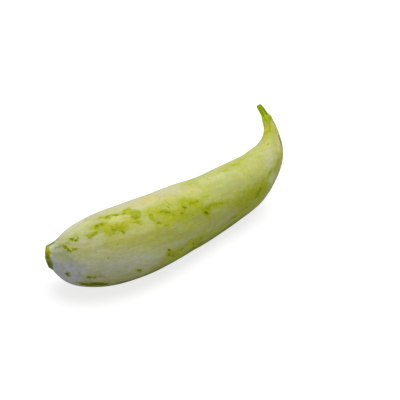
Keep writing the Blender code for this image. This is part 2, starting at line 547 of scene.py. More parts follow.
def fruit_points():
    """All rings of the fruit, from the middle of the scar to the middle of the neck's end."""
    distance = fruit_distances[:, None]
    angle = fruit_angles[None, :]
    radii = fruit_radius(distance, angle)
    body = rings_of_points(fruit_frames, radii, fruit_angles, rise=scar_lean(distance, angle))
    cap_frames = copies_of_ring(fruit_frames, -1, len(cap_shares))
    rise = cap_rises[:, None] * (1 + COLLAR_RIB_REACH * np.cos(RIBS * angle))
    cap = rings_of_points(cap_frames, radii[-1:] * cap_shares[:, None], fruit_angles, rise=rise)
    return np.concatenate([dome_points, body, cap])


points = fruit_points()
points[:, :, 2] = np.maximum(points[:, :, 2], 0.0)
neck_tip = fruit_frames[CENTRE][-1] + fruit_frames[AHEAD][-1] * cap_rises[-1]
fruit_skin = new_skin("fruit_skin", points, dome_tip, neck_tip)
lowest_point = round(float(points[:, :, 2].min()), 3)
print("fruit_skin:", len(fruit_skin.data.polygons), "faces, lowest point", lowest_point)

# %% [markdown]
# ## Where the colours go
#
# The finish has to know where it is on the fruit: how far from the flower end, and how far
# round. World coordinates can't tell it that, because the fruit is bent, and a flat UV map
# would have a seam. So every point of the mesh carries the place that it would have if the
# fruit were pulled straight: the distance along, and its place across the straight fruit.
# Noise that reads this follows the neck round its curl and has no seam. Blender keeps such
# values in mesh attributes.

# %% The straightened fruit
SCAR_RADIUS = HALF_THICKNESS[0][1]
NECK_END_RADIUS = HALF_THICKNESS[-2][1]


def straightened(along, radius, angles):
    """Places on the fruit or stalk pulled straight: along it and across it."""
    along = np.broadcast_to(along, radius.shape)
    return np.stack([along, radius * np.cos(angles), radius * np.sin(angles)], axis=-1)


def store(skin, name, values):
    """Keeps one number, or three, for each point of the rings. A tip gets its ring's mean."""
    row = values.reshape(-1, *values.shape[2:])
    row = np.concatenate([row, [values[0].mean(axis=0)], [values[-1].mean(axis=0)]])
    kind, part = ("FLOAT_VECTOR", "vector") if row.ndim == 2 else ("FLOAT", "value")
    attribute = skin.data.attributes.new(name, kind, "POINT")
    attribute.data.foreach_set(part, row.astype(np.float32).ravel())


# Inside the rim of the scar the distance is negative
ring_distance = np.concatenate([(dome_shares - 1) * SCAR_RADIUS, fruit_distances, NECK_END + cap_rises])
ring_radius = np.concatenate([
    dome_shares * SCAR_RADIUS,
    thickness_at(fruit_distances),
    cap_shares * NECK_END_RADIUS,
])
place_along = np.repeat(ring_distance[:, None], FRUIT_SIDES, axis=1)
place_radius = np.repeat(ring_radius[:, None], FRUIT_SIDES, axis=1)
place_angle = np.repeat(fruit_angles[None, :], len(ring_distance), axis=0)
place_degrees = np.degrees(place_angle)
store(fruit_skin, "straight", straightened(place_along, place_radius, place_angle))
print("straightened length:", round(float(place_along.max() - place_along.min()), 1), "mm")

# %% [markdown]
# Green marks lie on the pale skin like brush strokes: flecks a few millimetres long, and
# soft clouds of green round them. An image could hold them, but it would be flat, blurred
# from near and stretched where the fruit bends. A stroke is the simplest thing that can draw
# both kinds on any form. It runs from one place on the skin to another, each given as a
# distance from the flower end and an angle round the fruit, and it fades away from its line.
# Strokes lie over each other as thin paint does, so where two cross, the mark is stronger
# but never more than full.

# %% Strokes on the skin
LEAST_SQUARE = 1e-6


def stroke(start_mm, start_round, end_mm, end_round, half_width, strength):
    """Strength of one stroke at every point of the fruit."""
    middle_mm = min(max((start_mm + end_mm) / 2, 0.0), NECK_END)
    middle_round = (start_round + end_round) / 2
    mm_per_degree = math.radians(1.0) * float(thickness_at(middle_mm))
    turn = (place_degrees - middle_round + 180.0) % 360.0 - 180.0
    x = place_along - start_mm
    y = (turn + middle_round - start_round) * mm_per_degree
    run = end_mm - start_mm
    climb = (end_round - start_round) * mm_per_degree
    share = np.clip((x * run + y * climb) / max(run * run + climb * climb, LEAST_SQUARE), 0.0, 1.0)
    away = np.hypot(x - share * run, y - share * climb)
    return strength * bell(away, 0.0, half_width)


def painted(strokes):
    """Many strokes laid over each other."""
    bare = np.ones_like(place_along)
    for values in strokes:
        bare = bare * (1 - stroke(*values))
    return 1 - bare


sample = stroke(60.0, 70.0, 70.0, 70.0, half_width=2.0, strength=1.0)
print("points under a stroke of 10 by 4 mm:", int((sample > 0.5).sum()))

# %% [markdown]
# The strokes on the side that the viewer sees are listed one by one, because there each mark of this gourd
# has its own place and shape. Each is written as where it starts, where it ends, half its width in
# millimetres and its strength. For many marks the ends were read by eye in the photograph, and a separate
# script turned those pixels into a distance and an angle on the skin. Widths and strengths were chosen.
# The sharp ones are flecks, with ragged edges that the finish adds later.

# %% Flecks that the viewer sees
# Each: distance and angle of the start, distance and angle of the end, half width, strength
FLECKS = [
    # at the flower end
    (9, 90, 13, 75, 0.6, 0.4), (14, 73, 15.5, 66, 1.0, 1.0), (15.5, 66, 18, 54, 0.95, 1.0),
    (19, 60, 20, 57, 0.9, 0.7), (20.4, 57, 21.6, 55, 1.1, 0.85), (15, 79, 16.5, 75, 0.8, 0.35),
    (18.4, 84, 19, 80, 0.9, 0.6), (20, 79, 20.8, 76, 1.1, 0.9), (21.6, 74, 22.2, 71, 1.0, 0.9),
    (23, 73, 23.6, 70, 0.8, 0.8), (23.6, 78, 24.4, 74, 0.9, 0.75), (17.5, 91, 18.5, 88, 0.6, 0.5),
    (26, 78, 30, 74, 1.4, 0.25), (31.8, 68.5, 33.4, 69.5, 1.7, 0.95), (33.6, 70, 36.2, 72, 1.5, 0.9),
    (33, 78, 33.5, 77, 0.8, 0.45), (34, 82, 34.6, 82, 0.8, 0.45),
    # a blob
    (37.6, 82, 39, 83, 1.9, 0.9), (40.6, 83, 42.4, 82, 1.8, 0.9), (38.6, 79, 40.4, 80, 1.4, 0.7),
    (41.8, 80, 42.2, 78, 1.1, 0.5), (36.8, 78.5, 37.2, 77.5, 0.8, 0.6),
    # along the ridge
    (42.2, 99, 43.6, 97.5, 1.1, 0.8), (45.2, 97, 47.6, 95.5, 1.4, 0.95),
    (46, 91.5, 47.8, 89.8, 1.25, 0.9), (51, 94.2, 54, 91.2, 1.4, 0.95),
    (51.4, 89.5, 53.6, 88, 1.05, 0.75), (57.4, 88.5, 59, 87.5, 1.3, 0.95),
    (60.5, 95, 62.5, 94, 1.7, 0.85),
    # core of the big soft patch, with its legs
    (47, 66, 52, 65, 2.6, 0.6), (47, 71, 51, 72, 1.6, 0.5), (50.8, 63, 51.8, 57, 1.2, 0.8),
    (46.3, 69, 47, 65, 1.0, 0.8), (43, 66, 44, 60, 1.3, 0.5), (53, 68, 54, 66, 1.2, 0.45),
    # the patch to the right of it
    (63.5, 88, 68.5, 83, 1.7, 0.95), (62.6, 84, 63.6, 76, 1.7, 0.95), (64, 79, 67.4, 78, 1.4, 0.75),
    (61.4, 76, 63.4, 72, 1.9, 1.0), (64.6, 75, 65.6, 73, 1.1, 0.9), (67.6, 79, 68.6, 78, 0.9, 0.7),
    (60.8, 67.5, 64.6, 65, 1.5, 0.85), (74.5, 73, 75.5, 63, 1.4, 0.75), (67, 89, 68, 90, 1.0, 0.5),
    (67.5, 60, 69, 65, 0.9, 0.3), (62, 70, 64, 70, 0.8, 0.4),
    # on the middle of the body
    (73, 79, 75, 76, 0.9, 0.4), (74.5, 72, 76, 70, 1.0, 0.45), (73.4, 66, 74.6, 60, 1.6, 0.6),
    (75.5, 71, 76.5, 69, 1.3, 0.5), (82, 70, 86, 68, 2.1, 0.8), (86.5, 66, 89, 64, 1.9, 0.9),
    (89.8, 59, 91.6, 56, 1.7, 0.7), (92.8, 86, 93.2, 83, 0.9, 0.7), (93, 80, 93.4, 77, 0.9, 0.7),
    (93.8, 75.5, 94.2, 73.5, 0.9, 0.6), (91, 73.5, 91.6, 71, 1.0, 0.7), (87.5, 78, 88.4, 78, 0.7, 0.4),
    (76, 55, 77.6, 54, 1.3, 0.85), (78.6, 52.5, 79.6, 52, 1.0, 0.7), (80.6, 48, 82.4, 45.5, 1.3, 0.7),
    (84, 46, 84.6, 44, 0.9, 0.5), (85.6, 53, 86.4, 51, 0.9, 0.4), (96, 55.5, 97, 54, 1.0, 0.75),
    (98, 54, 99.2, 53, 1.3, 0.9), (102.2, 61, 103.6, 59, 1.8, 0.95), (102.4, 66, 104, 67, 1.5, 0.5),
    (101, 55, 102, 55.5, 1.0, 0.5), (110, 62, 112.6, 62, 2.2, 0.8), (107.5, 66, 108.5, 68, 1.0, 0.35),
    (115.6, 60.5, 118, 60.5, 1.1, 0.9), (118.4, 52.5, 119.4, 52, 0.8, 0.6), (112, 55, 113, 52, 0.8, 0.4),
    (104.5, 38, 106, 42, 1.0, 0.5), (97, 86, 100, 84, 0.8, 0.25), (106, 74, 109, 76, 1.2, 0.3),
    # dark blob and the streak that leaves it
    (117, 44, 119, 40, 1.7, 0.7), (117.8, 37, 120.2, 34, 2.2, 1.0), (121, 42, 130, 43, 1.9, 0.75),
    (130, 43, 138, 39, 1.5, 0.65), (138, 38, 143, 33, 1.2, 0.5), (127, 66, 129, 61, 1.4, 0.35),
    (123, 36, 124, 31, 1.0, 0.35),
    # low on the side
    (54.5, -5, 57, -8, 1.3, 0.7), (57, -8, 58, -14, 1.3, 0.7), (58, -10, 60, -9, 0.9, 0.45),
    (78, 10, 80.2, 5, 0.9, 0.85), (78.6, 2, 79.2, -2, 1.1, 0.8), (80, -5, 84, -6, 2.6, 0.35),
    (82, -6, 84.5, -11, 1.0, 0.7), (86.4, -12, 87.4, -14, 1.0, 0.6), (88, 1, 90, -3, 1.2, 0.5),
    (90.6, -2, 91.8, -4, 1.1, 0.85), (94.5, 3, 96, 1, 0.9, 0.5), (101.4, -4, 102.4, -7, 1.1, 0.9),
    (102.8, -14, 103.6, -17, 1.0, 0.8), (109.4, 0, 110.2, -4, 1.1, 0.8), (101, -13, 108, -22, 1.2, 0.65),
    (112, -1, 119, -8, 0.9, 0.45), (109, -18, 115, -30, 3.0, 0.7),
    # where the body turns up into the neck
    (148.5, -1, 151, -3, 1.2, 0.8), (151, -4, 152.5, -8, 1.0, 0.7), (166, 0, 167, -5, 1.2, 0.6),
    (172, -5, 173, -10, 0.8, 0.5), (165, 35, 167, 34, 0.8, 0.6), (160, 24, 161, 18, 1.3, 0.4),
    (172, 24, 174, 20, 1.1, 0.7), (182.5, 17, 178, 11.5, 2.6, 0.95), (178, 11, 176, 9, 1.8, 0.8),
    (178, 20, 181, 16, 1.2, 0.3), (198, 27, 201, 25, 1.2, 0.4), (214, 16, 208, 11, 1.3, 0.6),
    (202, 28, 198, 23, 1.3, 0.4), (195, 67, 198, 64, 1.4, 0.3), (223, 80, 224.5, 77, 0.8, 0.4),
    # low at the flower end
    (13.2, 10, 13.4, 3, 1.3, 0.95), (15, 9, 15.6, 5, 1.0, 0.5), (24.5, 2, 25, -2, 1.1, 0.9),
    (25, -1, 28, -3, 1.1, 0.9), (29, -3, 33, -4, 1.6, 0.35), (20, -19, 24, -24, 2.0, 0.8),
    (26, -19, 31, -23, 2.2, 0.95), (30, -27, 34, -30, 1.5, 0.5), (1.5, 108, 6.5, 112, 1.5, 1.0),
    (7, 117, 11, 106, 1.0, 0.7),
]
print("flecks listed one by one:", len(FLECKS))

# %% [markdown]
# Many flecks are darker in the middle than at their edge. One colour for a whole fleck would
# look like a sticker, and a wider fade would lose its sharp edge. So the cores are strokes of
# their own, smaller than the flecks that they lie on.

# %% Dark cores of the flecks
CORES = [
    (14.2, 72, 15.2, 68, 0.6, 0.7), (15.4, 66, 16.4, 62, 0.6, 0.8), (16.6, 60, 17.8, 55, 0.6, 0.9),
    (19.8, 79, 20.6, 77, 0.9, 1.0), (21.8, 73, 22.2, 71, 0.8, 0.9), (23.1, 72.5, 23.6, 71, 0.6, 0.8),
    (18.5, 83, 18.8, 81, 0.6, 0.5), (23.9, 77, 24.2, 75, 0.6, 0.6), (38, 82, 38.8, 83, 0.9, 0.75),
    (41.2, 82.5, 42, 82, 0.9, 0.8), (32, 69.5, 33, 70, 0.9, 0.4), (43.6, 95, 44, 94.5, 0.7, 0.5),
    (46.5, 93.5, 47.6, 92.5, 1.1, 0.8), (51.6, 91.5, 53.4, 90, 1.0, 0.8), (57, 88, 58.2, 87.5, 1.0, 0.7),
    (43.6, 96.5, 44.4, 96, 0.7, 0.6), (46.4, 68.5, 47.4, 64, 1.1, 0.62), (51, 60, 51.6, 57, 0.8, 0.6),
    (61.8, 77, 63.4, 73, 1.5, 0.62), (65, 79, 67.2, 78, 0.8, 0.7), (64.5, 85, 67, 82.5, 1.6, 0.56),
    (64.8, 74.5, 65.4, 73.5, 0.8, 0.8), (61.5, 66, 63.5, 66, 0.8, 0.35), (76.4, 54.5, 77.4, 54, 0.9, 0.8),
    (81, 47.5, 82, 46, 0.8, 0.7), (78.8, 52.3, 79.4, 52, 0.7, 0.6), (83.5, 70, 89, 63, 1.7, 0.58),
    (98.2, 54, 99, 53, 0.9, 0.9), (102.6, 60.5, 103.4, 59.5, 1.0, 0.85), (102.4, 64, 104.2, 60, 1.8, 0.5),
    (93, 85, 93.1, 84, 0.6, 0.5), (93.1, 79, 93.3, 77.5, 0.6, 0.5), (91.1, 73, 91.5, 71.5, 0.7, 0.6),
    (109.8, 64, 112, 61, 1.8, 0.62), (116.2, 60.5, 117.6, 60.5, 0.8, 0.85), (118, 53, 119, 53, 0.7, 0.5),
    (105, 41, 105.3, 38, 0.7, 0.6), (118.8, 37.5, 120.2, 34.5, 1.4, 1.0),
    (121.5, 43, 124.5, 41.5, 1.7, 0.52), (92.3, 75, 92.8, 73, 0.7, 0.5),
    (73.8, 78.5, 74.5, 77.5, 0.7, 0.4), (76.4, 74, 75, 64, 1.3, 0.5), (56, -7, 57.3, -11, 1.0, 0.8),
    (78.2, 9.5, 80, 5.5, 0.7, 0.9), (78.7, 1.5, 79, -1.5, 0.8, 0.7), (83.6, -10, 84.4, -12, 0.8, 0.7),
    (90.5, -1, 91.5, -3, 0.8, 0.7), (101.7, -4.5, 102.3, -6.5, 0.8, 0.9),
    (109.6, -0.5, 110, -3, 0.8, 0.8), (103, -15, 103.4, -16.5, 0.8, 0.7), (110, -24, 115, -34, 2.5, 0.6),
    (22, -22, 34, -28, 3.0, 0.9), (151, -4, 152, -7, 0.9, 0.5), (166, 34.5, 166.6, 34, 0.7, 0.5),
    (172.8, 22.5, 173.6, 21, 0.7, 0.5), (182.8, 17, 181.2, 14.5, 2.0, 0.6),
    (179.8, 12.5, 178.6, 11, 1.7, 0.5), (149, -1, 150, -2, 0.8, 0.6), (13.2, 9, 13.4, 4, 0.9, 0.9),
    (24.6, 0.5, 25.4, -2, 0.9, 0.95), (27, -3, 28.3, -3, 0.7, 0.5), (20.8, 56.5, 21.4, 55.5, 0.7, 0.7),
    (21, -22, 23, -25, 1.4, 0.6), (27, -20, 31, -24, 1.8, 0.9), (223.3, 79.5, 224.3, 78, 0.8, 0.7),
    (38, 58.5, 38.8, 57.5, 0.6, 0.6), (47.8, 21.5, 48.1, 20, 0.6, 0.5), (210, 26, 210.4, 24, 0.8, 0.4),
    (1.2, 106, 6.5, 110, 1.3, 1.0), (1.5, 118, 8, 120, 1.3, 1.0),
]
print("cores listed one by one:", len(CORES))

# %% [markdown]
# The clouds are the wide, soft strokes: green that shows only faintly, round the flecks and
# by itself. Noise alone could spread such clouds, but not where this gourd has them.

# %% Clouds that the viewer sees
CLOUDS = [
    # near the flower end
    (15, 70, 22, 78, 3.0, 0.35), (20, 84, 30, 80, 3.5, 0.25), (30, 72, 36, 71, 2.6, 0.5),
    (37, 82, 42, 80, 3.6, 0.85), (36, 98, 42, 104, 4.0, 0.25), (43, 96, 48, 92, 2.6, 0.5),
    (50, 95, 55, 91, 2.4, 0.42), (43, 84, 47, 90, 2.0, 0.35), (58, 90, 63, 96, 2.8, 0.6),
    (44, 68, 54, 66, 5.4, 0.95), (62, 87, 67, 77, 4.0, 0.85), (57, 78, 60, 72, 2.5, 0.45),
    (60, 66, 66, 66, 3.0, 0.5),
    # the middle of the body
    (72, 72, 76, 62, 3.0, 0.5), (78, 82, 84, 80, 3.5, 0.35), (81, 68, 91, 60, 4.6, 0.9),
    (76, 53, 84, 49, 3.6, 0.5), (75, 50, 73, 42, 2.0, 0.5), (73, 77, 80, 76, 3.0, 0.65),
    (88, 78, 95, 80, 4.0, 0.4), (92, 62, 98, 62, 3.5, 0.45), (96, 54, 104, 58, 3.6, 0.6),
    (100, 66, 104, 74, 4.0, 0.65), (106, 70, 113, 65, 3.5, 0.85), (109, 62, 118, 58, 4.0, 0.65),
    (86, 51, 94, 50, 4.0, 0.6), (98, 46, 114, 46, 5.0, 0.7), (82, 42, 88, 40, 4.0, 0.3),
    # the right half
    (116, 42, 122, 34, 4.0, 0.65), (116, 32, 122, 27, 3.0, 0.4), (120, 44, 132, 40, 4.0, 0.45),
    (132, 38, 146, 31, 3.5, 0.55), (122, 66, 130, 58, 4.0, 0.45), (150, 16, 160, 10, 6.0, 0.4),
    (140, 34, 168, 30, 5.0, 0.35), (160, 16, 172, 14, 7.0, 0.65), (172, 22, 186, 16, 7.0, 0.65),
    (176, 30, 188, 24, 4.0, 0.45), (182, 6, 188, 6, 4.0, 0.5), (186, 20, 198, 28, 4.5, 0.35),
    (214, 18, 206, 13, 3.0, 0.6), (203, 28, 196, 23, 3.0, 0.4), (244.5, 64, 237.5, 76, 0.9, 0.9),
    (148, -4, 168, -8, 4.0, 0.2),
    # faint ones under the top edge
    (125, 98, 128, 102, 2.5, 0.5), (162, 98, 167, 95, 3.0, 0.6), (176, 100, 182, 93, 3.5, 0.6),
    (188, 101, 191, 99, 2.5, 0.6),
    # low on the side
    (13, 10, 15, 1, 2.0, 0.4), (24, 0, 33, -3, 2.6, 0.55), (20, -18, 32, -26, 4.0, 0.85),
    (108, -22, 116, -34, 6.0, 0.9), (100, 4, 110, -8, 4.0, 0.6), (80, 0, 86, -8, 3.5, 0.5),
    (112, 6, 120, -2, 4.0, 0.4),
]
print("clouds listed one by one:", len(CLOUDS))

# %% [markdown]
# The far side and the belly need the same finish, but nobody has to match them mark for mark.
# There the strokes come in clusters from a seeded random draw: a soft cloud first, then a few
# flecks on it. A seed makes the draw the same on every run.

# %% Marks on the far side
FAR_CLUSTERS = 30
FAR_ALONG = (14.0, 208.0)
FAR_ROUND = (138.0, 312.0)
CLOUD_REACH = (3.0, 11.0)
CLOUD_LEAN = (-12.0, 12.0)
CLOUD_HALF_WIDTH = (2.5, 6.5)
CLOUD_STRENGTH = (0.4, 0.9)
FLECKS_ON_CLOUD = (2, 8)
FLECK_SCATTER = (-10.0, 10.0)
FLECK_LENGTH = (0.5, 4.0)
FLECK_LEAN = (-6.0, 6.0)
FLECK_HALF_WIDTH = (0.9, 2.0)
FLECK_STRENGTH = (0.4, 1.0)
CORE_CHANCE = 0.5
CORE_WIDTH_SHARE = 0.6
CORE_STRENGTH = (0.5, 1.0)


def far_fleck(draw, along, turn, reach):
    """A short stroke somewhere on the cloud whose middle is at along and turn."""
    start = along + draw.uniform(-reach, reach)
    start_turn = turn + draw.uniform(*FLECK_SCATTER)
    end = start + draw.uniform(*FLECK_LENGTH)
    end_turn = start_turn + draw.uniform(*FLECK_LEAN)
    width = draw.uniform(*FLECK_HALF_WIDTH)
    return start, start_turn, end, end_turn, width, draw.uniform(*FLECK_STRENGTH)


def core_of(fleck, strength):
    """A narrower stroke over the first half of a fleck."""
    start, start_turn, end, end_turn, width, _ = fleck
    middle = (start + end) / 2
    middle_turn = (start_turn + end_turn) / 2
    return start, start_turn, middle, middle_turn, CORE_WIDTH_SHARE * width, strength


def far_marks(seed):
    """Clouds, flecks and cores in clusters, on the side away from the viewer."""
    draw = np.random.default_rng(seed)
    clouds, flecks, cores = [], [], []
    for _ in range(FAR_CLUSTERS):
        along = draw.uniform(*FAR_ALONG)
        turn = draw.uniform(*FAR_ROUND)
        reach = draw.uniform(*CLOUD_REACH)
        lean = draw.uniform(*CLOUD_LEAN)
        width = draw.uniform(*CLOUD_HALF_WIDTH)
        strength = draw.uniform(*CLOUD_STRENGTH)
        clouds.append((along - reach, turn - lean, along + reach, turn + lean, width, strength))
        for _ in range(draw.integers(*FLECKS_ON_CLOUD)):
            flecks.append(far_fleck(draw, along, turn, reach))
            if draw.uniform() < CORE_CHANCE:
                cores.append(core_of(flecks[-1], draw.uniform(*CORE_STRENGTH)))
    return clouds, flecks, cores


far_clouds, far_flecks, far_cores = far_marks(seed=8)
store(fruit_skin, "clouds", painted(CLOUDS + far_clouds))
store(fruit_skin, "flecks", painted(FLECKS + far_flecks))
store(fruit_skin, "cores", painted(CORES + far_cores))
for name, drawn in (("clouds", far_clouds), ("flecks", far_flecks), ("cores", far_cores)):
    print("drawn for the far side:", len(drawn), name)

# %% [markdown]
# The skin between the green marks isn't one colour either. The flower end is whiter and greyer, more so low
# down, where its faint blue is painted shade. Round the flower scar the whitest ridges are painted
# highlights and the grey lines in the folds are painted shade. The top is beige, with one warm spot. The
# body turns olive in its lower half, and greener and darker towards the belly, where the darkening along
# the lower edge is painted shade. The neck has a pale patch, light and dark stripes between its ribs, with
# painted light on the light stripes of its shaded side, and an old scratch that healed brown.
# A gradient along the fruit could only do the widest of these. So they are strokes too, each
# kind with its own colour, laid on in this order as thin washes under the green marks.

